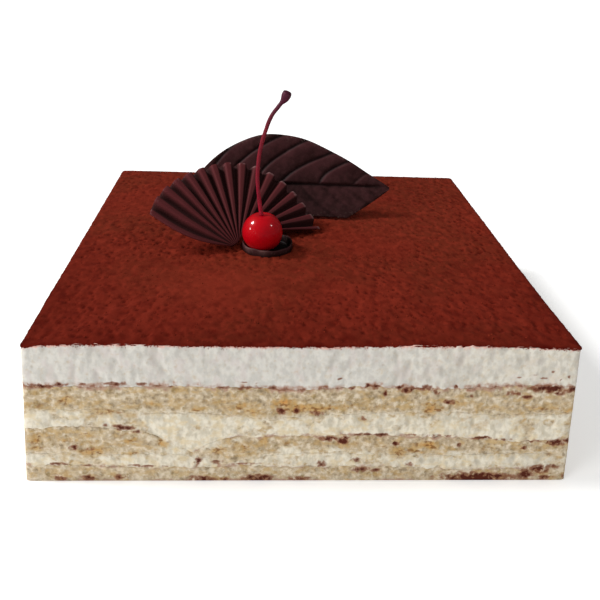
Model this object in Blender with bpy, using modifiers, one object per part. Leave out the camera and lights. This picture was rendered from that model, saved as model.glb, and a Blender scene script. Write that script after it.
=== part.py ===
# Square tiramisu cake, six soaked and creamed layers under cocoa, with a cherry in a
# chocolate dish, a pleated chocolate fan and a chocolate leaf on top.
# Metres, +Z up, origin at the centre of the base, front face towards -Y.
import bpy
import bmesh
import math
from mathutils import Vector

MM = 0.001

# driving dimensions, in millimetres
TOP_SIDE = 200.0            # width and depth at the cocoa
BASE_SPREAD = (3.9, 2.5)    # how far the left and right, and the front and back, lean out by the base
CAKE_HEIGHT = 57.4          # base to cocoa
GAP = 0.3                   # clearance between neighbouring pieces
MIN_LAYER = 1.4             # thinnest a layer may become
RIM_POINTS = 112            # points round the rim of every layer
LAYER_TOPS = {              # mean height of the upper limit of each layer
    "sponge_bottom": 6.6,
    "cream_lower": 12.2,
    "sponge_middle": 19.8,
    "cream_middle": 30.6,
    "sponge_upper": 41.4,
    "cream_top": 56.2,
}
# swells in the layer limits along the front: x, half width, rise
FRONT_SWELLS = {
    "sponge_bottom": ((-20.0, 14.0, 1.0), (62.0, 30.0, -1.6)),
    "cream_lower": ((-26.0, 11.0, -4.2), (-80.0, 16.0, 0.8)),
    "sponge_middle": ((-86.0, 26.0, 4.6), (-41.0, 9.0, -6.4), (22.0, 17.0, 1.8), (84.0, 15.0, -1.4)),
    "cream_middle": ((-12.0, 13.0, -2.4), (-70.0, 12.0, 0.8)),
    "sponge_upper": ((-62.0, 24.0, 0.8), (0.0, 16.0, -0.9), (78.0, 24.0, 0.8)),
    "cream_top": ((-36.0, 9.0, -0.5), (0.0, 8.0, -0.4), (34.0, 10.0, 0.4)),
}
# the other three sides repeat the swells at these places along their 600 mm, fainter and wider
SIDE_SWELLS = {"first": 75.0, "step": 190.0, "shift": 37.0, "rise": 0.8, "width": 1.2}
WAVES = ((3, 0.35), (7, 0.30), (13, 0.22))     # cycles round the rim, height
WAVE_TURN = 1.9                                # turns each layer's waves against the next
TOP_CALM = 0.55                                # waves under the cocoa are this much lower
SIDE_WAVE = 0.22                               # how far a layer wanders in and out
COCOA_EDGE = 1.1                               # width of the cocoa's rounded rim
COCOA_DROP = 0.5                               # how far that rim drops
# the front of the top stands higher than its middle, with swells (x, half width, rise), and ends
# sharply at the corners, of which the right one stays up
FRONT_RISE = {"mean": 1.3, "swells": ((-68.0, 24.0, 0.3), (55.0, 36.0, 1.0)), "sharpness": 14,
              "corner": 1.1, "corner_reach": 30.0}

# toppings: places are from the middle of the cocoa, heights above it
DISH = {"x": -13.8, "y": -12.2, "radius": 11.7, "sunk": 0.9, "rim": 3.4, "wall": 1.2, "floor": 0.5,
        "round": 0.6}
# the cherry is a little wider than tall
CHERRY = {"x": -16.2, "y": -14.5, "radius": 9.25, "tall": 0.99, "dimple": 1.0, "dimple_reach": 4.5}
STEM = {"radius": 0.88, "foot": 1.1, "knob": 2.15, "knob_length": 5.0, "bow": 0.8}
# the stalk passes through these points: sideways from the cherry's middle, height above its dimple
STEM_PATH = ((-0.6, 0.0), (-2.0, 9.5), (-2.6, 17.3), (-2.2, 26.3), (-0.5, 35.3),
             (2.5, 44.4), (6.0, 49.9), (8.3, 53.0), (9.5, 56.2))
FAN = {"x": -25.1, "y": -11.4, "z": 3.9, "heading": 30.8, "tilt": 39.6, "ridges": 15,
       "first": 149.1, "step": 10.26, "reach": 42.5, "depth": 1.75, "root_depth": 0.25,
       "notch": 0.2, "uneven": 1.4, "sag": 3.9, "sag_width": 0.12, "thick": 1.1,
       "per_pleat": 6, "rows": 6}
# the fan's gathered foot runs from left to right, rising to clear the dish
FAN_ROOT = {"left": -6.8, "width": 8.0, "low": -2.4, "rise": 6.4}
LEAF = {"x": 49.9, "y": 35.0, "z": 14.0, "heading": -3.0, "tilt": 59.4, "turn": 0.45,
        "length": 101.9, "upper": 25.1, "lower": 30.8, "rib": 0.5, "blunt": 0.73, "shift": 1.3,
        "cup": 6.3, "curl": 5.2, "cup_at": 28.0, "bow": 1.1, "ripple": 0.45, "ripples": 4.5,
        "thick": 1.4, "columns": 30, "rows": 10}


def wipe():
    for ob in list(bpy.data.objects):
        bpy.data.objects.remove(ob, do_unlink=True)


def material(name, colour, rough, coat=0.0):
    mat = bpy.data.materials.new(name)
    mat.use_nodes = True
    bsdf = mat.node_tree.nodes["Principled BSDF"]
    bsdf.inputs["Base Color"].default_value = (*colour, 1.0)
    bsdf.inputs["Roughness"].default_value = rough
    bsdf.inputs["Coat Weight"].default_value = coat
    mat.diffuse_color = (*colour, 1.0)
    return mat


def add_object(name, data, mat, home):
    ob = bpy.data.objects.new(name, data)
    home.objects.link(ob)
    data.materials.append(mat)
    return ob


def finish(bm, name, mat, home, smooth=True):
    bmesh.ops.recalc_face_normals(bm, faces=bm.faces[:])
    for face in bm.faces:
        face.smooth = smooth
    mesh = bpy.data.meshes.new(name)
    bm.to_mesh(mesh)
    bm.free()
    return add_object(name, mesh, mat, home)


def half_width(z, axis):
    return TOP_SIDE / 2 + BASE_SPREAD[axis] * (1.0 - z / CAKE_HEIGHT)


def rim_place(s):
    """Position round the rim: 0-1 front, 1-2 right, 2-3 back, 3-4 left."""
    side = int(s) % 4
    along = 2.0 * (s - int(s)) - 1.0
    return ((along, -1.0), (1.0, along), (-along, 1.0), (-1.0, -along))[side]


def rim_rise(s):
    """How far the top's edge stands above its middle at rim position s."""
    rise = FRONT_RISE["mean"]
    if s > 1.0:
        away = (s - 1.0) * TOP_SIDE / FRONT_RISE["corner_reach"]
        return FRONT_RISE["corner"] * math.exp(-away ** 2)
    x = (s - 0.5) * TOP_SIDE
    for centre, wide, more in FRONT_RISE["swells"]:
        rise += more * math.exp(-((x - centre) / wide) ** 2)
    end = abs(2 * s - 1.0) ** FRONT_RISE["sharpness"]
    return rise * (1.0 - end) + FRONT_RISE["corner"] * end * (x > 0)


def limit_height(layer, s):
    """Height of a layer's upper limit at rim position s."""
    order = list(LAYER_TOPS).index(layer)
    z = LAYER_TOPS[layer] + (rim_rise(s) if layer == "cream_top" else 0.0)
    calm = TOP_CALM if layer == "cream_top" else 1.0
    for cycles, rise in WAVES:
        z += calm * rise * math.sin(2 * math.pi * cycles * s / 4 + WAVE_TURN * order + cycles)
    if s <= 1.0:
        x = (s - 0.5) * TOP_SIDE
        for centre, wide, rise in FRONT_SWELLS[layer]:
            z += rise * math.exp(-((x - centre) / wide) ** 2)
        return z
    side = SIDE_SWELLS
    for j, (_, wide, rise) in enumerate(FRONT_SWELLS[layer]):
        spot = (side["first"] + side["step"] * j + side["shift"] * order) % (3 * TOP_SIDE)
        away = (s - 1.0) * TOP_SIDE - spot
        z += side["rise"] * rise * math.exp(-(away / (wide * side["width"])) ** 2)
    return z


def limits(s):
    """All layer limits at s from the base up, kept in order."""
    out = [0.0]
    for layer in LAYER_TOPS:
        out.append(max(limit_height(layer, s), out[-1] + MIN_LAYER))
    return out


def rim_index(vert):
    angle = math.atan2(vert.co.y, vert.co.x)
    s = ((angle + 0.75 * math.pi) % (2 * math.pi)) / (0.5 * math.pi)
    return (round(s * RIM_POINTS / 4) % RIM_POINTS) * 4 / RIM_POINTS


def slab(name, number, mat, home):
    """One layer through the whole cake, between limits number and number + 1."""
    bm = bmesh.new()
    bmesh.ops.create_circle(bm, cap_ends=True, cap_tris=True, segments=RIM_POINTS, radius=1.0)
    lower = list(bm.verts)
    top = bmesh.ops.extrude_face_region(bm, geom=bm.faces[:])
    upper = [g for g in top["geom"] if isinstance(g, bmesh.types.BMVert)]
    for verts, edge, shift in ((lower, number, 0.5), (upper, number + 1, -0.5)):
        for v in verts:
            lift = 0.0 if edge == 0 else shift * GAP
            if v.co.xy.length < 0.5:
                mean = 0.0 if edge == 0 else list(LAYER_TOPS.values())[edge - 1]
                v.co = Vector((0.0, 0.0, mean + lift)) * MM
                continue
            s = rim_index(v)
            z = limits(s)[edge] + lift
            px, py = rim_place(s)
            wander = 0.0 if edge == 0 else SIDE_WAVE * math.sin(2 * math.pi * (5 + number) * s / 4 + number)
            wander -= SIDE_WAVE * (edge > 0)
            v.co = Vector((px * (half_width(z, 0) + wander), py * (half_width(z, 1) + wander), z)) * MM
    return finish(bm, name, mat, home, smooth=False)


def cocoa(mat, home, cutters):
    """Thin cocoa skin with a rounded rim and a round hollow under the dish."""
    bm = bmesh.new()
    bmesh.ops.create_circle(bm, cap_ends=True, cap_tris=True, segments=RIM_POINTS, radius=1.0)
    lower = list(bm.verts)
    top = bmesh.ops.extrude_face_region(bm, geom=bm.faces[:])
    upper = [g for g in top["geom"] if isinstance(g, bmesh.types.BMVert)]
    faces = [g for g in top["geom"] if isinstance(g, bmesh.types.BMFace)]
    for v in lower:
        if v.co.xy.length < 0.5:
            v.co = Vector((0.0, 0.0, LAYER_TOPS["cream_top"] + 0.5 * GAP)) * MM
            continue
        s = rim_index(v)
        z = limits(s)[-1] + 0.5 * GAP
        px, py = rim_place(s)
        v.co = Vector((px * TOP_SIDE / 2, py * TOP_SIDE / 2, z)) * MM
    for v in upper:
        if v.co.xy.length < 0.5:
            v.co = Vector((0.0, 0.0, CAKE_HEIGHT)) * MM
            continue
        s = rim_index(v)
        px, py = rim_place(s)
        v.co = Vector((px * TOP_SIDE / 2, py * TOP_SIDE / 2, CAKE_HEIGHT + rim_rise(s))) * MM
    bmesh.ops.inset_region(bm, faces=faces, thickness=COCOA_EDGE * MM, use_even_offset=True)
    for v in bm.verts:
        if v not in lower and max(abs(v.co.x), abs(v.co.y)) > (TOP_SIDE / 2 - 0.2) * MM:
            v.co.z -= COCOA_DROP * MM
    skin = finish(bm, "cocoa_dusting", mat, home, smooth=False)

    bm = bmesh.new()
    bmesh.ops.create_cone(bm, cap_ends=True, segments=40, depth=8.0 * MM,
                          radius1=(DISH["radius"] + GAP) * MM, radius2=(DISH["radius"] + GAP) * MM)
    cutter = finish(bm, "hollow_cutter", mat, cutters)
    cutter.location = (DISH["x"] * MM, DISH["y"] * MM, CAKE_HEIGHT * MM)
    cutter.hide_render = True
    cutter.display_type = "WIRE"
    cut = skin.modifiers.new("hollow", "BOOLEAN")
    cut.operation = "DIFFERENCE"
    cut.solver = "EXACT"
    cut.object = cutter
    return skin


def dish(mat, home):
    """Shallow round dish, its profile turned round Z by a Screw modifier."""
    d = DISH
    r, low, rim, soft = d["radius"], -d["sunk"], d["rim"], d["round"]
    floor, inner = low + d["floor"], r - d["wall"]
    profile = ((0.0, floor), (inner - 1.4 * soft, floor), (inner, floor + 1.3 * soft),
               (r - 1.4 * soft, rim - 0.3 * soft), (r - 0.85 * soft, rim),
               (r - 0.3 * soft, rim - 0.3 * soft), (r, rim - soft),
               (r, low + 1.8 * soft), (r - 0.35 * soft, low + 0.7 * soft),
               (r - 1.4 * soft, low), (0.0, low))
    bm = bmesh.new()
    verts = [bm.verts.new((x * MM, 0.0, z * MM)) for x, z in profile]
    for upper, lower in zip(verts, verts[1:]):
        bm.edges.new((upper, lower))
    mesh = bpy.data.meshes.new("chocolate_dish")
    bm.to_mesh(mesh)
    bm.free()
    ob = add_object("chocolate_dish", mesh, mat, home)
    turn = ob.modifiers.new("turn", "SCREW")
    turn.steps = turn.render_steps = 40
    turn.use_merge_vertices = True
    turn.merge_threshold = 0.00001
    ob.location = (d["x"] * MM, d["y"] * MM, CAKE_HEIGHT * MM)
    return ob


def cherry_height():
    """Height of the cherry's centre over the cocoa."""
    return -DISH["sunk"] + DISH["floor"] + GAP + CHERRY["radius"] * CHERRY["tall"]


def cherry(mat, home):
    bm = bmesh.new()
    bmesh.ops.create_uvsphere(bm, u_segments=28, v_segments=16, radius=CHERRY["radius"] * MM)
    for v in bm.verts:
        v.co.z *= CHERRY["tall"]
        out = v.co.xy.length / MM / CHERRY["dimple_reach"]
        if v.co.z > 0 and out < 1.0:
            v.co.z -= CHERRY["dimple"] * MM * (1.0 - out ** 2) ** 2
    ob = finish(bm, "cherry", mat, home)
    ob.location = (CHERRY["x"] * MM, CHERRY["y"] * MM, (CAKE_HEIGHT + cherry_height()) * MM)
    return ob


def smooth_path(points, steps):
    """Points read from a smooth curve through the given ones, steps to a span."""
    ends = [points[0]] + list(points) + [points[-1]]
    path = []
    for i in range(len(points) - 1):
        a, b, c, d = (Vector(p) for p in ends[i:i + 4])
        for j in range(steps):
            t = j / steps
            path.append(0.5 * (2 * b + (c - a) * t + (2 * a - 5 * b + 4 * c - d) * t ** 2
                               + (3 * b - a - 3 * c + d) * t ** 3))
    path.append(Vector(points[-1]))
    return path


def stem(mat, home):
    """Bent stalk: a bevelled curve that widens to a knob."""
    foot = cherry_height() + CHERRY["radius"] * CHERRY["tall"] - CHERRY["dimple"] + GAP
    path = smooth_path(STEM_PATH, 3)
    top = path[-1].y
    curve = bpy.data.curves.new("cherry_stem", "CURVE")
    curve.dimensions = "3D"
    curve.bevel_depth = STEM["radius"] * MM
    curve.bevel_resolution = 2
    curve.use_fill_caps = True
    line = curve.splines.new("POLY")
    line.points.add(len(path) - 1)
    for point, place in zip(line.points, path):
        t = place.y / top
        bow = STEM["bow"] * math.sin(math.pi * t)
        point.co = ((CHERRY["x"] + place.x) * MM, (CHERRY["y"] + bow) * MM, (foot + place.y) * MM, 1.0)
        flare = max(0.0, 1.0 - (top - place.y) / STEM["knob_length"])
        knob = (STEM["knob"] / STEM["radius"] - 1.0) * math.sin(min(1.0, 1.35 * flare) * math.pi / 2)
        point.radius = 1.0 + (STEM["foot"] - 1.0) * max(0.0, 1 - 8 * t) + knob * (1.0 - 0.45 * flare ** 6)
    ob = add_object("cherry_stem", curve, mat, home)
    ob.location = (0.0, 0.0, CAKE_HEIGHT * MM)
    return ob


def frame_axes(heading, tilt):
    h, t = math.radians(heading), math.radians(tilt)
    across = Vector((math.cos(h), math.sin(h), 0.0))
    up = Vector((-math.sin(h) * math.cos(t), math.cos(h) * math.cos(t), math.sin(t)))
    return across, up, across.cross(up)


def sheet(name, columns, rows, place, normal, thick, mat, home):
    """Thin solid: a grid laid on place(u, v), split into triangles, then thickened."""
    bm = bmesh.new()
    bmesh.ops.create_grid(bm, x_segments=columns, y_segments=rows, size=0.5)
    bmesh.ops.triangulate(bm, faces=bm.faces[:])
    for v in bm.verts:
        v.co = place(v.co.x + 0.5, v.co.y + 0.5) * MM
    top = bmesh.ops.extrude_face_region(bm, geom=bm.faces[:])
    moved = [g for g in top["geom"] if isinstance(g, bmesh.types.BMVert)]
    for v in bm.verts:
        v.co -= normal * (0.5 * thick * MM)
    for v in moved:
        v.co += normal * (thick * MM)
    ob = finish(bm, name, mat, home)
    ob.location = (0.0, 0.0, CAKE_HEIGHT * MM)
    return ob


def fan(mat, home):
    """Pleated fan: straight pleats from a gathered foot to a scalloped arc."""
    f, r = FAN, FAN_ROOT
    across, up, normal = frame_axes(f["heading"], f["tilt"])
    home_point = Vector((f["x"], f["y"], f["z"]))
    first, last = -1.0 / f["per_pleat"], float(f["ridges"])      # in pleats, ridges at whole numbers

    def place(u, v):
        k = first + (last - first) * u
        angle = math.radians(f["first"] - f["step"] * k)
        ridge = abs(math.cos(math.pi * k)) ** 1.4
        reach = f["reach"] + f["uneven"] * math.cos(2 * math.pi * k / 9) - f["notch"] * (1.0 - ridge)
        root = Vector((r["left"] + r["width"] * u, r["low"] + r["rise"] * u * u))
        tip = Vector((math.cos(angle), math.sin(angle))) * reach
        flat = root.lerp(tip, v)
        edge = max(0.0, 1.0 - u / f["sag_width"])       # the left edge sags towards the cocoa
        flat += Vector((-0.5, -0.87)) * f["sag"] * edge * math.sin(math.pi * v)
        fold = 2.0 * (f["root_depth"] + f["depth"] * v) * (ridge - 1.0)
        return home_point + across * flat.x + up * flat.y + normal * fold

    columns = int(round((last - first) * f["per_pleat"]))
    return sheet("chocolate_fan", columns, f["rows"], place, normal, f["thick"], mat, home)


def leaf(mat, home):
    q = LEAF
    across, up, normal = frame_axes(q["heading"], q["tilt"])
    turn = math.radians(q["turn"])
    along = -(across * math.cos(turn) + up * math.sin(turn))
    over = normal.cross(-along)
    over = over if over.z > 0 else -over
    tip = Vector((q["x"], q["y"], q["z"]))
    clear = GAP + 0.5 * q["thick"]

    def point(u, f):
        wide = max(math.sin(math.pi * u ** q["shift"]), 0.0) ** q["blunt"]
        reach = f * (wide * (q["upper"] if f > 0 else q["lower"]) + q["rib"])
        cup = (q["cup"] if f > 0 else q["curl"]) * (reach / q["cup_at"]) ** 2 + 4 * q["bow"] * u * (1 - u)
        ripple = q["ripple"] * math.sin(2 * math.pi * (q["ripples"] * u + 0.3 * abs(f))) * f * f
        return tip + along * (u * q["length"]) + over * reach + normal * (cup + ripple)

    def lowest(u):
        f = -1.0
        while f < 0.0 and point(u, f).z < clear:
            f += 0.01
        return f

    def place(u, v):
        u = 0.5 - 0.5 * math.cos(math.pi * u)
        low = lowest(u)
        return point(u, low + (1.0 - low) * v)

    return sheet("chocolate_leaf", q["columns"], q["rows"], place, normal, q["thick"], mat, home)


def build():
    wipe()
    home = bpy.data.collections.new("tiramisu_cake")
    cutters = bpy.data.collections.new("cutters")
    for group in (home, cutters):
        bpy.context.scene.collection.children.link(group)
    sponge = material("sponge", (0.62, 0.47, 0.27), 0.9)
    cream = material("cream", (0.74, 0.71, 0.64), 0.6)
    dust = material("cocoa", (0.16, 0.035, 0.018), 0.95)
    dark = material("chocolate", (0.045, 0.016, 0.016), 0.4, 0.2)
    red = material("cherry_skin", (0.5, 0.004, 0.010), 0.12, 0.6)
    stalk = material("stalk", (0.24, 0.01, 0.03), 0.45)
    for number, name in enumerate(LAYER_TOPS):
        slab(name, number, sponge if name.startswith("sponge") else cream, home)
    cocoa(dust, home, cutters)
    dish(dark, home)
    cherry(red, home)
    stem(stalk, home)
    fan(dark, home)
    leaf(dark, home)


build()
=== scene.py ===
import itertools
import math

import bpy
import bmesh
import numpy as np
from mathutils import Matrix, Vector


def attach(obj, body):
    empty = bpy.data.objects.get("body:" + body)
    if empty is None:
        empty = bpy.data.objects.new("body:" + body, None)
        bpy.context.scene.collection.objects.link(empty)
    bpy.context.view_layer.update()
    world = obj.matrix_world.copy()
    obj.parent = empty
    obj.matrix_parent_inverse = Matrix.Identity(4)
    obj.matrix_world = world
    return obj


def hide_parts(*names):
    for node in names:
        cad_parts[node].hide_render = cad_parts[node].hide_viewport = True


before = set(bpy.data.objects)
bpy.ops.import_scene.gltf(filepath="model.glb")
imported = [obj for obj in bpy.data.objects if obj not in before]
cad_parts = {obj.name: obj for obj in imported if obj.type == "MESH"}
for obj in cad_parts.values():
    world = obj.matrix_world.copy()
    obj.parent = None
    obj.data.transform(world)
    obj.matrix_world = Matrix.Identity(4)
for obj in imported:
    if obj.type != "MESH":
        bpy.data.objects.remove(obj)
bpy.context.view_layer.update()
scene = bpy.context.scene
mm = 0.001

# the cake's own sizes, in millimetres, as the solids have them
cake = {
    "side": 200.0,          # width at the cocoa
    "spread": (3.9, 2.5),   # lean of the left and right, and of the front and back, by the base
    "height": 57.4,
    "thinnest": 1.4,        # a layer is never thinner than this
    "columns": 1840,        # points round a layer
    "rowStep": 0.45,        # height of a row of points
    "cornerPower": 120.0,   # higher is a sharper upright corner
    "cornerBlend": 9.0,     # the front's swells die out this far round the corner
    "brim": 0.75,           # the top cream ends this far under the top's edge, higher in front
    "tufts": 0.35,          # where it also reaches up through the cocoa here and there
}
# the front of the top stands higher, with swells (x, half width, rise), down to its corners
frontRise = {"mean": 1.3, "swells": ((-68.0, 24.0, 0.3), (55.0, 36.0, 1.0)), "sharpness": 14,
             "corner": 1.1, "cornerReach": 30.0}
layerTops = {
    "sponge_bottom": 6.6,
    "cream_lower": 12.2,
    "sponge_middle": 19.8,
    "cream_middle": 30.6,
    "sponge_upper": 41.4,
    "cream_top": 56.2,
}
# swells of the layer limits along the front: x, half width, rise
frontSwells = {
    "sponge_bottom": ((-20.0, 14.0, 1.0), (62.0, 30.0, -1.6)),
    "cream_lower": ((-26.0, 11.0, -4.2), (-80.0, 16.0, 0.8)),
    "sponge_middle": ((-86.0, 26.0, 4.6), (-41.0, 9.0, -6.4), (22.0, 17.0, 1.8), (84.0, 15.0, -1.4)),
    "cream_middle": ((-12.0, 13.0, -2.4), (-70.0, 12.0, 0.8)),
    "sponge_upper": ((-62.0, 24.0, 0.8), (0.0, 16.0, -0.9), (78.0, 24.0, 0.8)),
    "cream_top": ((-36.0, 9.0, -0.5), (0.0, 8.0, -0.4), (34.0, 10.0, 0.4)),
}
sideSwells = {"first": 75.0, "step": 190.0, "shift": 37.0, "rise": 0.8, "width": 1.2}
waves = ((3, 0.35), (7, 0.30), (13, 0.22))      # cycles round the rim, height
waveTurn = 1.9                                  # turns each layer's waves against the next
topCalm = 0.55                                  # the waves under the cocoa are this much lower

slant = np.array(Matrix.Rotation(0.8, 3, Vector((0.4, 0.7, 0.6)).normalized()))


def lumps(points, size, seed):
    # smooth random swells from about -1 to 1, with bumps of the given size
    table = np.random.default_rng(seed).uniform(-1.0, 1.0, (64, 64, 64))
    place = points @ slant / size
    low = np.floor(place).astype(int)
    near = place - low
    near = near * near * (3.0 - 2.0 * near)
    total = np.zeros(len(points))
    for step in itertools.product((0, 1), repeat=3):
        cell = (low + step) % 64
        share = np.prod(np.where(np.array(step) == 1, near, 1.0 - near), axis=1)
        total += share * table[cell[:, 0], cell[:, 1], cell[:, 2]]
    return 1.4 * total


def swells(points, sorts, shift=0):
    # several sorts of lumps added up, each given as size, height and seed
    return sum(height * lumps(points, size, seed + shift) for size, height, seed in sorts)


def hollows(points, size, seed, share):
    # depth from 0 to 1 of round pits scattered one to a cell
    random = np.random.default_rng(seed)
    middle = random.uniform(0.2, 0.8, (32, 32, 32, 3))
    radius = random.uniform(0.25, 0.6, (32, 32, 32)) * (random.uniform(size=(32, 32, 32)) < share)
    place = points @ slant / size
    low = np.floor(place).astype(int)
    depth = np.zeros(len(points))
    for step in itertools.product((-1, 0, 1), repeat=3):
        cell = low + step
        key = tuple((cell % 32).T)
        away = np.linalg.norm(place - cell - middle[key], axis=1)
        depth = np.maximum(depth, 1.0 - (away / np.maximum(radius[key], 0.001)) ** 2)
    return depth


def softStep(value, low, high):
    t = np.clip((value - low) / (high - low), 0.0, 1.0)
    return t * t * (3.0 - 2.0 * t)


def readPoints(mesh):
    flat = np.zeros(len(mesh.vertices) * 3)
    mesh.vertices.foreach_get("co", flat)
    return flat.reshape(-1, 3)


def writePoints(mesh, points):
    mesh.vertices.foreach_set("co", (points * mm).ravel())
    mesh.update()


def paintPoints(mesh, name, values):
    layer = mesh.attributes.new(name, "FLOAT", "POINT")
    layer.data.foreach_set("value", np.asarray(values, np.float32))


def addPiece(name, mesh, finish, nodes):
    piece = bpy.data.objects.new(name, mesh)
    scene.collection.objects.link(piece)
    mesh.materials.append(finish)
    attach(piece, "root")
    if nodes:
        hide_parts(*nodes)
    return piece


def meshFrom(bm, name):
    mesh = bpy.data.meshes.new(name)
    bm.to_mesh(mesh)
    bm.free()
    mesh.polygons.foreach_set("use_smooth", [True] * len(mesh.polygons))
    return mesh


# node helpers for the finishes

def newFinish(name, rough, **more):
    finish = bpy.data.materials.new(name)
    finish.use_nodes = True
    shader = finish.node_tree.nodes["Principled BSDF"]
    shader.inputs["Roughness"].default_value = rough
    for socket, value in more.items():
        shader.inputs[socket.replace("_", " ")].default_value = value
    return finish.node_tree, shader, finish


def addNode(tree, kind, values, **settings):
    node = tree.nodes.new("ShaderNode" + kind)
    for key, value in settings.items():
        setattr(node, key, value)
    for socket, value in values.items():
        if isinstance(value, bpy.types.NodeSocket):
            tree.links.new(value, node.inputs[socket])
        else:
            node.inputs[socket].default_value = value
    return node


def grain(tree, size, detail=2.0, rough=0.5, stretch=(1.0, 1.0, 1.0), shift=0.0):
    # noise whose features are about the given size in millimetres
    place = addNode(tree, "TexCoord", {}).outputs["Object"]
    moved = addNode(tree, "Mapping", {"Vector": place, "Scale": stretch, "Location": (shift, shift, shift)})
    return addNode(tree, "TexNoise", {"Vector": moved.outputs[0], "Scale": 1000.0 / size, "Detail": detail,
                                      "Roughness": rough}).outputs[0]


def painted(tree, name):
    return addNode(tree, "Attribute", {}, attribute_name=name).outputs["Fac"]


def spread(tree, value, low, high, start=0.0, end=1.0, smooth=True):
    kind = "SMOOTHSTEP" if smooth else "LINEAR"
    return addNode(tree, "MapRange", {0: value, 1: low, 2: high, 3: start, 4: end},
                   interpolation_type=kind).outputs[0]


def sums(tree, kind, first, second):
    return addNode(tree, "Math", {0: first, 1: second}, operation=kind).outputs[0]


def blend(tree, share, first, second, kind="MIX"):
    def colour(value):
        return value if isinstance(value, bpy.types.NodeSocket) else (*value, 1.0)
    return addNode(tree, "Mix", {0: share, 6: colour(first), 7: colour(second)},
                   data_type="RGBA", blend_type=kind).outputs[2]


def bumped(tree, shader, height, distance, strength=1.0):
    bump = addNode(tree, "Bump", {"Height": height, "Distance": distance * mm, "Strength": strength})
    tree.links.new(bump.outputs[0], shader.inputs["Normal"])


# shape shared by the layers: s runs round the rim, 0-1 front, 1-2 right, 2-3 back, 3-4 left

def halfWidth(z, axis):
    return cake["side"] / 2 + cake["spread"][axis] * (1.0 - z / cake["height"])


def rimPlace(s):
    along = 2.0 * (s - np.floor(s)) - 1.0
    side = np.floor(s).astype(int) % 4
    one = np.ones_like(s)
    px = np.choose(side, (along, one, -along, -one))
    py = np.choose(side, (-one, along, one, -along))
    return px, py


def rimRise(s):
    # how far the top's edge stands above its middle at s
    x = (s - 0.5) * cake["side"]
    rise = frontRise["mean"] + sum(more * np.exp(-((x - centre) / wide) ** 2)
                                   for centre, wide, more in frontRise["swells"])
    end = np.abs(2 * np.minimum(s, 1.0) - 1.0) ** frontRise["sharpness"]
    away = np.maximum(s - 1.0, 0.0) * cake["side"] / frontRise["cornerReach"]
    corner = frontRise["corner"] * np.exp(-away ** 2) * (x > 0)
    return np.where(s > 1.0, corner, rise * (1.0 - end) + corner * end)


def limitHeight(layer, s):
    order = list(layerTops).index(layer)
    side = cake["side"]
    z = np.full(s.shape, layerTops[layer])
    calm = topCalm if layer == "cream_top" else 1.0
    for cycles, rise in waves:
        z += calm * rise * np.sin(2 * np.pi * cycles * s / 4 + waveTurn * order + cycles)
    past = np.maximum(np.minimum(s - 1.0, 4.0 - s), 0.0) * side
    front = 1.0 - softStep(past, 0.0, cake["cornerBlend"])
    x = np.where(s > 2.5, -side / 2, np.minimum((s - 0.5) * side, side / 2))
    for j, (centre, wide, rise) in enumerate(frontSwells[layer]):
        spot = (sideSwells["first"] + sideSwells["step"] * j + sideSwells["shift"] * order) % (3 * side)
        away = ((s - 1.0) * side - spot) / (wide * sideSwells["width"])
        z += front * rise * np.exp(-((x - centre) / wide) ** 2)
        z += (1.0 - front) * sideSwells["rise"] * rise * np.exp(-away ** 2)
    return z


def layerLimits(s):
    px, py = rimPlace(s)
    front = 1.0 - softStep(np.maximum(np.minimum(s - 1.0, 4.0 - s), 0.0) * cake["side"], 0.0, 2.0)
    limits = [np.zeros_like(s)]
    for number, layer in enumerate(layerTops):
        rim = np.stack((px, py, np.full_like(s, 0.1 * number)), 1) * cake["side"] / 2
        ragged = swells(rim, cut["ragged"], number)
        if layer == "cream_top":
            tufts = cake["tufts"] * softStep(swells(rim, cut["tufts"]), 0.3, 1.1)
            z = cake["height"] + rimRise(s) - cake["brim"] - 0.15 + 0.3 * ragged + front * (0.4 + tufts)
        else:
            z = limitHeight(layer, s) + ragged
        limits.append(np.maximum(z, limits[-1] + cake["thinnest"]))
    return limits


def wallPlace(s, z):
    # point on the side wall, and the way out of it
    px, py = rimPlace(s)
    power = cake["cornerPower"]
    pull = (np.abs(px) ** power + np.abs(py) ** power) ** (-1.0 / power)
    nx = np.sign(px) * np.abs(px) ** (power - 1)
    ny = np.sign(py) * np.abs(py) ** (power - 1)
    size = np.hypot(nx, ny)
    points = np.stack((px * pull * halfWidth(z, 0), py * pull * halfWidth(z, 1), z), 1)
    return points, np.stack((nx / size, ny / size, np.zeros_like(z)), 1)


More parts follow.
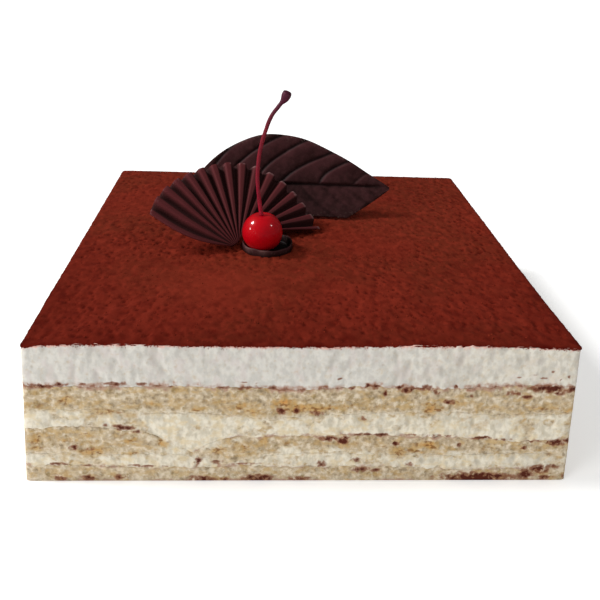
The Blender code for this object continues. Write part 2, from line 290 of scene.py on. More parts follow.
# marks on the front wall: x, height, half width, half height, strength
frontMarks = {
    "soak": (       # coffee and cocoa that darken the edges of the sponge
        (-94, 41.4, 5.0, 0.9, 0.9), (-86, 41.9, 2.5, 0.8, 0.85), (-79, 42.2, 1.6, 0.6, 0.7),
        (-68, 42.4, 5.0, 0.8, 0.7), (-58, 42.3, 3.0, 0.6, 0.6), (-47, 42.0, 2.0, 0.6, 0.5),
        (-30, 41.2, 3.0, 0.8, 0.7), (-20, 41.0, 6.0, 0.9, 0.7), (-12, 41.2, 2.0, 0.8, 0.75),
        (7, 41.0, 2.0, 1.2, 0.6), (16.5, 41.2, 1.5, 0.8, 0.6), (22.3, 42.6, 0.9, 1.1, 0.9),
        (25.5, 42.0, 1.6, 1.2, 0.85), (28.8, 38.8, 1.0, 1.1, 0.9), (34.0, 41.9, 1.8, 0.8, 0.85),
        (38.2, 40.8, 3.0, 1.1, 1.0), (44.0, 41.2, 2.6, 1.1, 0.9), (47.8, 39.8, 1.5, 1.0, 0.85),
        (54.5, 42.5, 0.9, 0.7, 0.8), (70.0, 42.3, 1.6, 0.6, 0.6), (77.0, 39.2, 3.2, 0.9, 0.7),
        (82.0, 37.8, 2.0, 0.8, 0.75), (90.0, 41.2, 7.5, 1.3, 1.1), (100.0, 41.3, 4.0, 1.1, 1.1),
        (93.5, 39.6, 2.4, 0.9, 0.9), (53.4, 35.4, 1.7, 0.9, 1.0), (61.0, 38.0, 0.8, 0.7, 0.7),
        (-8.2, 31.0, 2.0, 1.2, 1.0), (-2.6, 31.6, 1.5, 0.9, 0.9), (4.6, 30.2, 2.6, 1.0, 1.0),
        (22.5, 28.2, 1.2, 0.7, 0.8), (-64, 23.6, 2.6, 0.9, 0.95), (-60.5, 22.2, 2.6, 0.8, 0.7),
        (-71, 24.6, 1.6, 0.7, 0.6), (-66, 24.5, 1.8, 0.7, 0.7), (-82.0, 15.0, 1.6, 1.0, 0.9),
        (-76.5, 14.2, 2.0, 0.7, 0.6), (9.0, 19.0, 3.4, 1.1, 1.1), (14.6, 18.4, 1.9, 1.6, 1.15),
        (22.0, 20.9, 4.0, 0.55, 0.85), (29.0, 20.8, 3.0, 0.6, 0.85), (34.8, 16.6, 1.2, 1.0, 1.0),
        (40.0, 21.0, 3.0, 0.5, 0.7), (49.0, 20.9, 7.0, 0.5, 0.65), (66.0, 19.6, 4.2, 0.8, 0.85),
        (58.0, 16.4, 1.0, 0.8, 0.8), (74.0, 19.0, 5.0, 0.5, 0.5), (86.0, 17.8, 6.0, 0.5, 0.5),
        (94.5, 17.7, 4.2, 1.2, 1.1), (100.0, 18.4, 2.0, 1.0, 1.0), (82.5, 15.0, 1.0, 0.8, 0.75),
        (-88, 7.6, 3.0, 0.6, 0.75), (-78, 7.0, 3.0, 0.5, 0.5), (-58, 7.0, 5.0, 0.55, 0.7),
        (-38.2, 8.8, 1.4, 1.6, 0.95), (-31, 8.6, 2.0, 1.0, 0.6), (-50, 7.0, 2.4, 0.5, 0.55),
        (7.0, 7.6, 1.8, 1.3, 0.75), (22.0, 5.0, 4.0, 1.3, 0.75), (28.0, 4.6, 3.0, 1.0, 0.6),
        (40.0, 7.4, 1.6, 0.9, 0.7), (20.0, 9.6, 1.6, 1.2, 0.65), (-20.0, 7.8, 6.0, 0.45, 0.5),
        (-87, 1.2, 2.6, 1.2, 0.75), (-77, 1.4, 4.0, 1.0, 0.7), (-66, 1.6, 3.0, 1.0, 0.7),
        (-36, 0.9, 4.5, 1.2, 1.0), (-29, 0.5, 2.5, 0.8, 0.8), (-16, 0.9, 5.5, 1.4, 1.0),
        (-1.5, 0.8, 4.0, 1.0, 0.9), (66.0, 0.9, 14.0, 2.0, 1.2), (62.0, 2.6, 7.0, 1.4, 0.75),
        (84.0, 2.6, 3.0, 2.4, 0.95), (89.0, 5.0, 3.6, 1.6, 0.95), (94.0, 6.6, 3.2, 1.0, 0.7),
        (92.0, 1.4, 4.0, 0.9, 0.75), (99.5, 2.0, 1.6, 1.4, 0.7),
        (83.0, 47.2, 1.6, 0.5, 0.5), (90.0, 48.6, 0.8, 0.5, 0.5), (96.4, 46.6, 0.8, 0.8, 0.6),
        (86.5, 45.9, 2.2, 0.5, 0.5), (93.0, 45.6, 0.8, 0.5, 0.55), (78.0, 46.4, 1.0, 0.4, 0.45),
        (-22.0, 43.7, 1.6, 0.35, 0.5), (-17.0, 43.4, 1.5, 0.3, 0.45), (12.5, 45.0, 1.3, 0.35, 0.5)),
    "yolk": (       # ochre and orange patches where the sponge is soaked or browned
        (-85.5, 35.4, 3.4, 2.0, 0.95), (-74.5, 34.6, 2.4, 1.4, 0.6), (-70.0, 31.0, 6.0, 1.8, 0.85),
        (-56.0, 33.6, 3.2, 1.4, 0.75), (-45.0, 35.0, 3.0, 1.6, 0.4), (-37.5, 32.4, 2.6, 1.1, 0.95),
        (-96.0, 33.6, 4.0, 1.6, 0.6), (-62.0, 29.0, 3.0, 1.2, 0.5), (-31.0, 35.2, 4.0, 1.2, 0.6),
        (-25.0, 37.4, 3.4, 1.5, 0.6), (-22.0, 33.0, 5.0, 1.6, 0.9), (-18.0, 30.6, 5.0, 1.6, 0.7),
        (-26.5, 32.0, 2.4, 0.9, 0.9), (-8.0, 34.6, 4.5, 2.0, 1.2), (-2.0, 32.6, 6.5, 2.0, 1.15),
        (7.0, 32.4, 8.0, 1.7, 1.0), (17.0, 33.8, 6.0, 0.9, 0.75), (28.0, 32.4, 7.0, 1.2, 0.55),
        (38.0, 30.0, 4.0, 1.4, 0.45), (22.5, 28.0, 3.0, 1.2, 0.7), (46.5, 32.6, 3.8, 1.6, 1.15),
        (46.0, 34.2, 4.0, 0.8, 0.9), (57.5, 34.8, 3.6, 1.1, 0.85), (72.0, 33.0, 7.0, 0.7, 0.6),
        (88.0, 32.6, 8.0, 1.2, 0.8), (80.0, 30.4, 5.0, 1.0, 0.55), (97.0, 32.0, 4.0, 1.8, 0.75),
        (80.0, 27.4, 1.4, 1.5, 0.85), (64.0, 25.6, 5.0, 1.6, 0.5), (60.0, 28.5, 4.0, 1.2, 0.45),
        (-95.4, 18.6, 3.6, 2.2, 0.95), (-91.0, 20.0, 2.6, 1.0, 0.8), (-84.0, 18.6, 4.0, 1.0, 0.8),
        (-78.0, 20.6, 3.4, 1.2, 1.0), (-78.0, 17.2, 2.4, 1.0, 0.6), (-96.0, 14.4, 3.0, 1.0, 0.8),
        (-75.0, 13.0, 5.0, 1.6, 1.05), (-85.0, 12.6, 3.4, 1.2, 0.55), (-61.5, 18.4, 3.4, 1.0, 1.0),
        (-50.5, 17.0, 2.2, 1.4, 1.05), (-61.5, 12.8, 3.4, 1.1, 0.7), (-66.0, 20.6, 4.0, 1.0, 0.5),
        (-31.0, 14.2, 4.4, 2.4, 0.75), (-22.0, 15.0, 3.6, 2.4, 0.8), (-14.5, 18.0, 2.2, 2.6, 0.95),
        (-6.0, 17.6, 3.4, 1.8, 0.55), (0.0, 20.0, 3.4, 1.0, 0.4), (19.0, 16.4, 3.0, 1.0, 0.5),
        (31.0, 16.0, 3.4, 0.9, 0.6), (36.0, 12.8, 3.0, 2.6, 0.9), (26.0, 19.0, 3.0, 0.9, 0.5),
        (45.5, 16.2, 4.6, 1.5, 1.3), (42.0, 13.0, 4.0, 1.2, 0.75), (50.0, 12.8, 3.4, 1.0, 0.5),
        (69.0, 14.0, 4.0, 1.4, 0.55), (77.0, 12.4, 4.0, 1.2, 0.45), (92.0, 12.0, 4.0, 1.4, 0.6),
        (-88.0, 3.0, 5.0, 1.6, 0.45), (-60.0, 3.6, 5.0, 1.2, 0.45), (40.0, 2.6, 3.0, 1.2, 0.4),
        (90.0, 3.6, 4.0, 1.6, 0.7), (13.5, 6.0, 3.0, 1.0, 0.4)),
    "smear": (      # cream dragged down over the sponge
        (-86.0, 29.4, 9.0, 1.4, 0.75), (-54.0, 26.0, 8.0, 3.0, 0.8), (-46.0, 16.0, 6.5, 6.0, 1.2),
        (-34.0, 18.0, 6.0, 4.5, 1.0), (-56.0, 12.4, 7.0, 1.3, 0.8), (-24.0, 18.8, 3.2, 1.0, 0.8),
        (-29.0, 16.2, 3.2, 0.9, 0.9), (-34.0, 13.4, 3.2, 0.9, 0.9), (-17.0, 20.6, 3.4, 0.9, 0.9),
        (-5.0, 13.4, 4.6, 2.8, 1.1), (3.4, 12.6, 3.4, 2.4, 0.9), (12.0, 13.8, 4.6, 1.4, 0.9),
        (22.0, 12.2, 6.0, 1.4, 0.9), (30.0, 28.6, 8.0, 1.2, 0.7), (56.0, 12.6, 7.0, 2.0, 1.0),
        (69.0, 29.2, 9.0, 1.3, 0.7), (86.0, 12.0, 6.0, 1.2, 0.6), (-82.0, 12.0, 4.0, 1.0, 0.6),
        (56.0, 8.6, 6.0, 1.2, 0.55), (-93.0, 9.8, 4.0, 1.4, 0.8), (-46.0, 9.0, 4.0, 1.6, 0.7),
        (90.0, 9.4, 7.0, 1.4, 0.7), (9.0, 24.6, 6.0, 1.2, 0.5)),
}
# every mark is made this much taller; marks of the other walls lie loosely round the levels
markRules = {
    "soak": {"tall": 1.2, "count": 46, "levels": (0.8, 6.8, 19.8, 41.6), "loose": 0.7,
             "wide": (0.9, 5.5), "high": (0.5, 1.3), "strength": (0.5, 1.1)},
    "yolk": {"tall": 1.1, "count": 52, "levels": (14.5, 18.0, 33.0, 35.5), "loose": 2.6,
             "wide": (2.2, 6.5), "high": (0.9, 2.2), "strength": (0.4, 1.1)},
    "smear": {"tall": 1.0, "count": 22, "levels": (12.5, 18.0, 29.5, 10.0), "loose": 0.7,
              "wide": (3.5, 9.0), "high": (1.0, 3.2), "strength": (0.6, 1.1)},
}
markReach = 2.5         # a mark is left off past this many half widths


def sideMarks(kind, side):
    # marks of the same sorts for the walls away from the front
    if side == 0:
        return frontMarks[kind]
    rule = markRules[kind]
    random = np.random.default_rng(400 + 10 * side + list(markRules).index(kind))
    reach = cake["side"] / 2
    marks = []
    for _ in range(rule["count"]):
        level = random.choice(rule["levels"])
        marks.append((random.uniform(-reach, reach), level + random.normal(0.0, rule["loose"]),
                      random.uniform(*rule["wide"]), random.uniform(*rule["high"]),
                      random.uniform(*rule["strength"])))
    return marks


def markStrength(kind, s, z, warpX, warpZ):
    total = np.zeros_like(z)
    side = np.floor(s).astype(int) % 4
    x = (s - np.floor(s) - 0.5) * cake["side"] + warpX
    height = z + warpZ
    for number in range(4):
        here = np.nonzero(side == number)[0]
        for centre, level, wide, high, strength in sideMarks(kind, number):
            high *= markRules[kind]["tall"]
            near = here[(np.abs(x[here] - centre) < markReach * wide)
                        & (np.abs(height[here] - level) < markReach * high)]
            away = ((x[near] - centre) / wide) ** 2 + ((height[near] - level) / high) ** 2
            total[near] = np.maximum(total[near], strength * np.exp(-away))
    return total


# colours of the cut faces, of the sponge and of the creams
crumb = {
    # deep is also the painted shade in the sponge's pits
    "pale": (0.63, 0.54, 0.41), "middle": (0.465, 0.37, 0.25), "deep": (0.27, 0.205, 0.125),
    "ochre": (0.45, 0.295, 0.115), "olive": (0.24, 0.17, 0.065), "amber": (0.48, 0.225, 0.055),
    "rust": (0.19, 0.080, 0.025), "brown": (0.22, 0.085, 0.043), "soak": (0.085, 0.018, 0.009),
}
curd = {        # the first three for the top cream, the next three for the lower ones
    "white": (0.605, 0.585, 0.54), "shade": (0.51, 0.495, 0.46), "rosy": (0.565, 0.515, 0.49),
    "rich": (0.71, 0.655, 0.54), "dull": (0.535, 0.485, 0.38), "warm": (0.63, 0.52, 0.335),
    # pit is the painted shade in the cream's bubbles and curd hollows
    "pit": (0.27, 0.245, 0.21), "seam": (0.37, 0.225, 0.165), "blush": (0.64, 0.36, 0.30),
}


def creamColour(tree):
    fine = grain(tree, 1.9, 3.0, 0.5, (1, 1, 0.6), 0.1)
    top = blend(tree, spread(tree, fine, 0.36, 0.62), curd["shade"], curd["white"])
    top = blend(tree, spread(tree, grain(tree, 4.5, 3.0, 0.6, (1, 1, 0.7)), 0.48, 0.66, 0.0, 0.8),
                top, curd["rosy"])
    low = blend(tree, spread(tree, fine, 0.34, 0.6), curd["dull"], curd["rich"])
    low = blend(tree, spread(tree, grain(tree, 4.0, 3.0, 0.6, (1, 1, 1.5), 0.4), 0.46, 0.66, 0.0, 0.85),
                low, curd["warm"])
    soft = blend(tree, painted(tree, "tinge"), top, low)
    # painted shade darkens the cream's bubbles and curd hollows
    return blend(tree, sums(tree, "MULTIPLY", painted(tree, "pitShade"), 0.6), soft, curd["pit"])


def spongeColour(tree):
    cells = grain(tree, 2.2, 3.0, 0.55)
    base = blend(tree, spread(tree, cells, 0.32, 0.48), crumb["deep"], crumb["middle"])
    base = blend(tree, spread(tree, cells, 0.49, 0.64), base, crumb["pale"])
    base = blend(tree, spread(tree, grain(tree, 5.0, 3.0, 0.6, (1, 1, 1.7), 0.2), 0.47, 0.66, 0.0, 0.7),
                 base, crumb["ochre"])
    base = blend(tree, spread(tree, grain(tree, 2.8, 3.0, 0.6, shift=0.6), 0.56, 0.7, 0.0, 0.7),
                 base, crumb["olive"])
    # painted shade darkens the sponge's pits and pores
    return blend(tree, sums(tree, "MULTIPLY", painted(tree, "pitShade"), 0.45), base, crumb["deep"])


def cutFinish(name, rough, bump):
    # sponge and cream share one finish: "creamy" says how much cream lies on a spot
    tree, shader, finish = newFinish(name, rough, Specular_IOR_Level=0.15)
    fine = grain(tree, 1.6, 3.0, 0.5, shift=0.3)
    uneven = sums(tree, "MULTIPLY", sums(tree, "SUBTRACT", fine, 0.5), 1.7)
    broken = spread(tree, fine, 0.32, 0.68, 0.35, 1.6, smooth=False)
    covered = spread(tree, sums(tree, "ADD", painted(tree, "creamy"), uneven), 0.15, 0.85)
    colour = blend(tree, covered, spongeColour(tree), creamColour(tree))
    amber = sums(tree, "ADD", painted(tree, "yolk"), uneven)
    colour = blend(tree, spread(tree, amber, 0.0, 0.95, 0.0, 0.8), colour, crumb["ochre"])
    colour = blend(tree, spread(tree, amber, 0.55, 1.6, 0.0, 0.9), colour, crumb["amber"])
    flecks = sums(tree, "MULTIPLY", spread(tree, grain(tree, 2.2, 3.0, 0.55, (1, 1, 1.5), 0.8), 0.5, 0.64),
                  spread(tree, painted(tree, "yolk"), 0.2, 0.75, 0.0, 0.85))
    colour = blend(tree, flecks, colour, crumb["rust"])
    line = sums(tree, "MULTIPLY", painted(tree, "seam"), broken)
    colour = blend(tree, spread(tree, line, 0.1, 0.75, 0.0, 0.8), colour, curd["seam"])
    colour = blend(tree, spread(tree, line, 0.8, 1.4, 0.0, 0.8), colour, crumb["brown"])
    dark = sums(tree, "MULTIPLY", painted(tree, "soak"), broken)
    colour = blend(tree, spread(tree, dark, 0.15, 0.5, 0.0, 0.85), colour, crumb["brown"])
    colour = blend(tree, spread(tree, dark, 0.45, 0.95), colour, crumb["soak"])
    dusted = sums(tree, "MULTIPLY", painted(tree, "dusted"), broken)
    colour = blend(tree, spread(tree, dusted, 0.1, 0.7, 0.0, 0.9), colour, curd["blush"])
    tree.links.new(colour, shader.inputs["Base Color"])
    bumped(tree, shader, grain(tree, 0.9, 3.0, 0.55), bump, 0.5)
    return finish


# how the cut faces break up, in millimetres; a swell is (size, height, seed), a pit (width, seed, share)
cut = {
    "ragged": ((4.5, 0.35, 11), (1.5, 0.4, 31)),        # of the limits between the layers
    "tufts": ((2.0, 1.0, 27), (14.0, 0.4, 28)),         # of the top cream's upper edge in front
    "sideways": ((3.4, 1.3, 71), (1.4, 0.7, 72)),       # of the outlines of the marks
    "upwards": ((3.4, 0.6, 73), (1.4, 0.4, 74)),
    "reach": 2.4,                                       # how far sponge and cream run into each other
    "reachSwells": ((4.5, 1.3, 75), (1.9, 1.0, 76)),
    "reachEnds": (0.9, 5.0),
    "patches": ((6.0, 1.0, 77), (2.2, 0.5, 78)),
    "patchFlat": 1.5,                                   # patches are this much wider than tall
    "mixed": ((40.0, 1.0, 87),),                        # stretches where the lower layers are mixed up
    "mixedFront": (42.0, 62.0),                         # and where that starts left of the front's middle
    "mixedBelow": 32.0, "mixedMore": 0.45,
    "drag": ((2.2, 0.2, 86),),
    "soaked": 0.3, "soakedBottom": 0.28,                # most cream in the sponge's patches
    "crumbed": 0.55,                                    # most sponge in the cream's patches
    "broken": ((6.0, 0.7, 79), (1.6, 0.5, 80)),         # of the dark line along a layer's crisp edge
    "seam": (0.6, 0.6, 0.7, 0.7, 1.0, 1.0),             # that line's strength and half width, by layer
    "seamWide": (1.1, 1.1, 1.1, 1.1, 1.6, 1.6),
    "seamFaded": (21.0, 8.0, 0.7),                      # height, half height and share lost where mixed
    "foot": 0.8,                                        # darker and flatter this near the base
    "dust": 0.8,                                        # cocoa on the top cream reaches this far down
    "crumb": ((2.6, 0.26, 83), (1.2, 0.18, 84)),
    "sunk": 0.2,                                        # sponge lies this far behind the wall
    "pit": (1.9, 81, 0.6), "pitDeep": 0.38,
    "pore": (1.0, 82, 0.5), "poreDeep": 0.12,
    "cream": ((5.0, 0.14, 92), (0.9, 0.06, 94)),
    "proud": 0.08,                                      # cream lies this far before it
    "curd": ((2.0, 1.0, 93),), "curdTall": 0.45, "curdDeep": 0.20,
    "curdCalm": (-15.0, 5.0, 50.0, 0.35),               # weaker round this place: x, from, to, share kept
    "bubble": (2.6, 91, 0.16), "bubbleDeep": 0.2,
    "soakDeep": 0.22,
    "cornerCalm": (0.475, 0.496, 0.75),                 # firmer at the corners: from, to, share lost
    "foldIn": 1.3, "foldDown": 0.55,                    # rows turned in under the cocoa
}


def ringSlab(name, columns, rows):
    # closed drum of unit size: its wall in rows, both ends fanned from their middles
    bm = bmesh.new()
    bmesh.ops.create_circle(bm, cap_ends=True, cap_tris=True, segments=columns, radius=1.0)
    lower = set(bm.verts)
    top = bmesh.ops.extrude_face_region(bm, geom=bm.faces[:])
    for v in top["geom"]:
        if isinstance(v, bmesh.types.BMVert):
            v.co.z = 1.0
    upright = [e for e in bm.edges if (e.verts[0] in lower) != (e.verts[1] in lower)]
    bmesh.ops.subdivide_edges(bm, edges=upright, cuts=rows - 1, use_grid_fill=True)
    bmesh.ops.recalc_face_normals(bm, faces=bm.faces[:])
    for face in bm.faces:
        face.smooth = len(face.verts) == 4      # the ends stay flat, so the rim keeps its edge
    mesh = bpy.data.meshes.new(name)
    bm.to_mesh(mesh)
    bm.free()
    return mesh


def creamShare(wall, kind, number):
    # how much cream lies on each spot of the wall
    points, above = wall["points"], wall["above"]
    if number == len(layerTops) - 1:
        return np.ones_like(above)
    reach = np.clip(cut["reach"] + swells(points, cut["reachSwells"]), *cut["reachEnds"])
    broad, narrow = cut["patches"]
    patches = swells(points * (1.0, 1.0, cut["patchFlat"]), (broad,)) + swells(points, (narrow,))
    patches += cut["mixedMore"] * wall["mixed"] * (wall["z"] < cut["mixedBelow"])
    dragged = softStep(wall["smear"] + swells(points, cut["drag"]), 0.1, 1.0)
    if kind == "cream":                         # sponge crumbs drawn down over the cream
        creamy = 0.5 + 0.5 * softStep(above / reach, 0.0, 1.0)
        creamy -= cut["crumbed"] * softStep(patches, 0.1, 1.0) * softStep(above, 0.0, 2.0)
        return np.maximum(creamy, dragged)
    if number == 0:
        return np.maximum(dragged, cut["soakedBottom"])
    risen = 0.5 - 0.5 * softStep(wall["below"] / reach, 0.0, 1.0)       # cream soaked up from below
    return np.maximum(np.maximum(dragged, risen), cut["soaked"] * softStep(patches, 0.3, 1.0))


def edgeLines(wall, kind, number):
    # dark line along the sponge's upper and the cream's lower edge, and cocoa fallen on the cream
    rim = wall["above"] if kind == "sponge" else wall["below"]
    broken = 0.5 + swells(wall["points"], cut["broken"])
    seam = cut["seam"][number] * np.exp(-(rim / cut["seamWide"][number]) ** 2) * np.clip(broken, 0.05, 1.1)
    level, tall, lost = cut["seamFaded"]
    seam *= 1.0 - np.clip(wall["smear"], 0, 1)
    seam *= 1.0 - lost * wall["mixed"] * (np.abs(wall["z"] - level) < tall)
    if number == 0:
        seam = np.maximum(seam, 0.8 * np.exp(-(wall["z"] / cut["foot"]) ** 2) * np.clip(broken, 0.0, 1.0))
    dusted = np.exp(-wall["above"] / cut["dust"]) * (0.5 + 0.5 * np.clip(broken, 0.0, 1.2))
    return seam, dusted * (number == len(layerTops) - 1)


def cutRelief(wall, creamy, soak, number):
    # how far each spot stands out, and the painted shade of its pits and hollows
    points, s = wall["points"], wall["s"]
    pit, pore, bubble = (hollows(points, *cut[kind]) for kind in ("pit", "pore", "bubble"))
    rough = swells(points, cut["crumb"]) - cut["sunk"] - cut["pitDeep"] * pit - cut["poreDeep"] * pore
    place, near, far, kept = cut["curdCalm"]
    curdled = swells(points * (1.0, 1.0, cut["curdTall"]), cut["curd"])
    curdled *= kept + (1.0 - kept) * softStep(np.abs(points[:, 0] - place), near, far)
    smooth = cut["proud"] + swells(points, cut["cream"]) + cut["curdDeep"] * curdled
    smooth -= cut["bubbleDeep"] * bubble
    solid = np.clip(creamy, 0, 1)
    # painted shade: the sponge's pits and pores and the cream's bubbles and curd hollows are darkened
    pitShade = np.clip(0.9 * pit + 0.3 * pore, 0, 1) * (1.0 - solid)
    pitShade += np.clip(0.3 * bubble - 0.55 * curdled, 0, 1) * solid
    relief = rough + (smooth - rough) * solid - cut["soakDeep"] * np.clip(soak, 0, 1)
    if number == 0:
        relief *= softStep(wall["z"], 0.0, cut["foot"])
    near, far, lost = cut["cornerCalm"]
    return relief * (1.0 - lost * softStep(np.abs(s - np.floor(s) - 0.5), near, far)), pitShade


def cutWall(points, s, z, low, high, kind, number):
    # relief of a layer's wall and what is painted on it
    sideways, upwards = swells(points, cut["sideways"]), swells(points, cut["upwards"])
    soak = markStrength("soak", s, z, 0.5 * sideways, 0.4 * upwards)
    yolk = markStrength("yolk", s, z, sideways, upwards)
    mixed = np.where(s < 1.0, softStep(-points[:, 0], *cut["mixedFront"]),
                     softStep(swells(points * (1.0, 1.0, 0.2), cut["mixed"]), 0.0, 0.6))
    wall = {"points": points, "s": s, "z": z, "below": z - low, "above": high - z, "mixed": mixed,
            "smear": markStrength("smear", s, z, sideways, upwards)}
    creamy = creamShare(wall, kind, number)
    seam, dusted = edgeLines(wall, kind, number)
    relief, pitShade = cutRelief(wall, creamy, soak, number)
    tinge = np.ones_like(z)                     # 0 is the top cream's colour, 1 the lower creams'
    if number == len(layerTops) - 1:
        tinge = 0.08 + 0.35 * softStep(points[:, 0], 10.0, 95.0) * (s < 1.0)
    return relief, {"creamy": creamy, "yolk": yolk, "soak": soak, "seam": seam, "tinge": tinge,
                    "pitShade": pitShade, "dusted": dusted}


def layerPiece(name, number, limits, finish):
    kind = name.split("_")[0]
    thick = float(np.mean(limits[number + 1] - limits[number]))
    rows = max(6, int(round(thick / cake["rowStep"])))
    folds = 2 if name == "cream_top" else 0     # rows turned in under the cocoa
    mesh = ringSlab(name, cake["columns"], rows + folds)
    unit = readPoints(mesh)
    turn = ((np.arctan2(unit[:, 1], unit[:, 0]) + 0.75 * np.pi) % (2 * np.pi)) / (0.5 * np.pi)
    column = np.round(turn * cake["columns"] / 4).astype(int) % cake["columns"]
    s = column * 4.0 / cake["columns"]
    low, high = limits[number][column], limits[number + 1][column]
    climb = unit[:, 2] * (rows + folds) / rows
    fold = np.maximum(climb - 1.0, 0.0) * rows
    z = low + (high - low) * np.minimum(climb, 1.0)
    points, out = wallPlace(s, z)
    relief, marks = cutWall(points, s, z, low, high, kind, number)
    points += out * (relief - cut["foldIn"] * fold)[:, None]
    points[:, 2] -= cut["foldDown"] * fold
    middle = np.hypot(unit[:, 0], unit[:, 1]) < 0.5
    level = 0.0 if number == 0 else list(layerTops.values())[number - 1]
    points[middle] = 0.0
    points[middle, 2] = np.where(unit[middle, 2] < 0.5, level, layerTops[name] - 0.5 * folds)
    writePoints(mesh, points)
    for key, values in marks.items():
        paintPoints(mesh, key, values)
    return addPiece(name + "_cut", mesh, finish, [name])


ring = np.arange(cake["columns"]) * 4.0 / cake["columns"]
limits = layerLimits(ring)
cutFinishes = {"sponge": cutFinish("spongeCrumb", 0.85, 0.15),
               "cream": cutFinish("mascarponeCream", 0.6, 0.1)}
for number, name in enumerate(layerTops):
    layerPiece(name, number, limits, cutFinishes[name.split("_")[0]])
print("layers made")

# cocoa: a clumped skin with a ragged fringe over the top cream
cocoa = {
    "cells": 290,            # squares along one side
    "edgeDrop": 0.3,         # rounding of the rim, and how far in it starts
    "edgeWidth": 1.5,
    "fringe": 0.30,          # usual depth of the fringe down the cream
    "fringeRows": 4,
    "proud": 0.22,           # how far the fringe stands off the cream
    "under": 56.0,           # height of the hidden underside
    "inset": 1.6,
    "stretch": 0.6,          # pits and clumps are longer from front to back
    # swells as size, height, seed, and pits as width, seed, share
    "clumps": ((1.5, 0.10, 101), (6.5, 0.10, 103)),
    "longClumps": ((2.4, 0.20, 102),),
    "clods": ((2.9, 1.0, 102),),
    "dunes": ((28.0, 0.15, 104),),
    "calm": ((38.0, 1.0, 106), (9.0, 0.3, 107)),
    "pits": (2.1, 105, 0.7),
    "pitDeep": 0.42,
    "fringeSwells": ((0.9, 1.3, 111), (3.2, 0.7, 112)),
    "fringeEnds": (0.02, 1.6),
    "proudSwells": ((1.3, 0.12, 113),),
    "lightened": (-34.0, -54.0, 24.0, 22.0),     # place and reach of a smooth spot, also painted lighter as a pool of light
    # colours of the powder; dark also paints the shade in the pits, towards the front and at the edge, and
    # bright the lighter spot and edge grains
    "bright": (0.215, 0.0250, 0.0120), "usual": (0.162, 0.0172, 0.0082),
    "dark": (0.064, 0.0036, 0.0018), "umber": (0.136, 0.0185, 0.0080),
    "grains": 1500,
    "grainSize": (0.2, 0.45),
    "edgeGrains": 5000,      # lumps that make the fringe ragged
    "edgeFall": 0.4,         # how far they lie below the edge, on average and at most
    "edgeFallMost": 3.5,
}
dish = {"x": -13.8, "y": -12.2, "radius": 11.7, "sunk": 0.9, "rim": 3.4, "wall": 1.2, "floor": 0.5,
        "round": 0.6, "hollow": 1.35, "lip": 0.35, "steps": 112,
        "glints": ((-2.45, 0.22), (-1.75, 0.2))}      # painted highlights on the rim: angle, width


def onPowder(x, y):
    # where the cocoa's swells are read for a place on the top
    return np.stack((x, y, np.full_like(x, 30.0)), 1)


def baldness(x, y):
    cx, cy, wide, deep = cocoa["lightened"]
    return np.exp(-((x - cx) / wide) ** 2 - ((y - cy) / deep) ** 2)


def cocoaHeight(x, y):
    # height of the powder, and how deep in a pit each spot lies
    flat = onPowder(x, y)
    away = np.maximum(np.maximum(np.abs(x), np.abs(y)), 0.001)
    px, py = x / away, y / away
    s = np.where(-py > 0.9999, 0.5 + 0.5 * px, np.where(px > 0.9999, 1.5 + 0.5 * py, 3.0))
    calm = swells(flat, cocoa["calm"]) + 0.003 * x - 0.0045 * y        # rougher to the right and in front
    calm = 0.35 + 0.65 * softStep(calm, -0.75, 0.1)
    calm *= 1.0 - 0.7 * baldness(x, y)
    calm *= 0.25 + 0.75 * softStep(cake["side"] / 2 - away, 0.0, 5.0)
    long = flat * (1.0, cocoa["stretch"], 1.0)
    pits = softStep(hollows(long, *cocoa["pits"]), 0.0, 0.8) * calm
    relief = (swells(flat, cocoa["clumps"]) + swells(long, cocoa["longClumps"])) * calm
    relief += swells(flat, cocoa["dunes"]) - cocoa["pitDeep"] * pits
    z = cake["height"] + rimRise(s) * away / (cake["side"] / 2) - 0.1 + relief
    inward = cake["side"] / 2 - away
    z -= cocoa["edgeDrop"] * (1.0 - np.clip(inward / cocoa["edgeWidth"], 0, 1)) ** 2
    out = np.hypot(x - dish["x"], y - dish["y"]) - dish["radius"]
    z += dish["lip"] * np.exp(-((out - 0.9) / 1.1) ** 2)
    z -= (dish["hollow"] + relief) * (1.0 - softStep(out, -1.0, -0.2))
    return z, pits


def cocoaFinish():
    tree, shader, finish = newFinish("cocoaPowder", 0.95, Specular_IOR_Level=0.03)
    patch = blend(tree, spread(tree, grain(tree, 52.0, 2.0), 0.4, 0.62), cocoa["umber"], cocoa["usual"])
    way = (1.0, cocoa["stretch"], 1.0)
    patch = blend(tree, spread(tree, grain(tree, 3.0, 3.0, 0.5, way), 0.44, 0.66, 0.0, 0.65),
                  patch, cocoa["bright"])
    patch = blend(tree, spread(tree, grain(tree, 2.4, 3.0, 0.5, way, 0.5), 0.46, 0.34, 0.0, 0.4),
                  patch, cocoa["dark"])
    # painted light: a smooth spot and the edge grains are made lighter
    patch = blend(tree, sums(tree, "MULTIPLY", painted(tree, "lightened"), 0.7), patch, cocoa["bright"])
    # painted shade: the pits, the front, the rounded edge and low clod patches take the dark colour
    shaded = sums(tree, "MAXIMUM", painted(tree, "pit"), painted(tree, "rim"))
    tree.links.new(blend(tree, shaded, patch, cocoa["dark"]), shader.inputs["Base Color"])
    bumped(tree, shader, grain(tree, 1.4, 3.0, 0.55), 0.25, 0.5)
    return finish


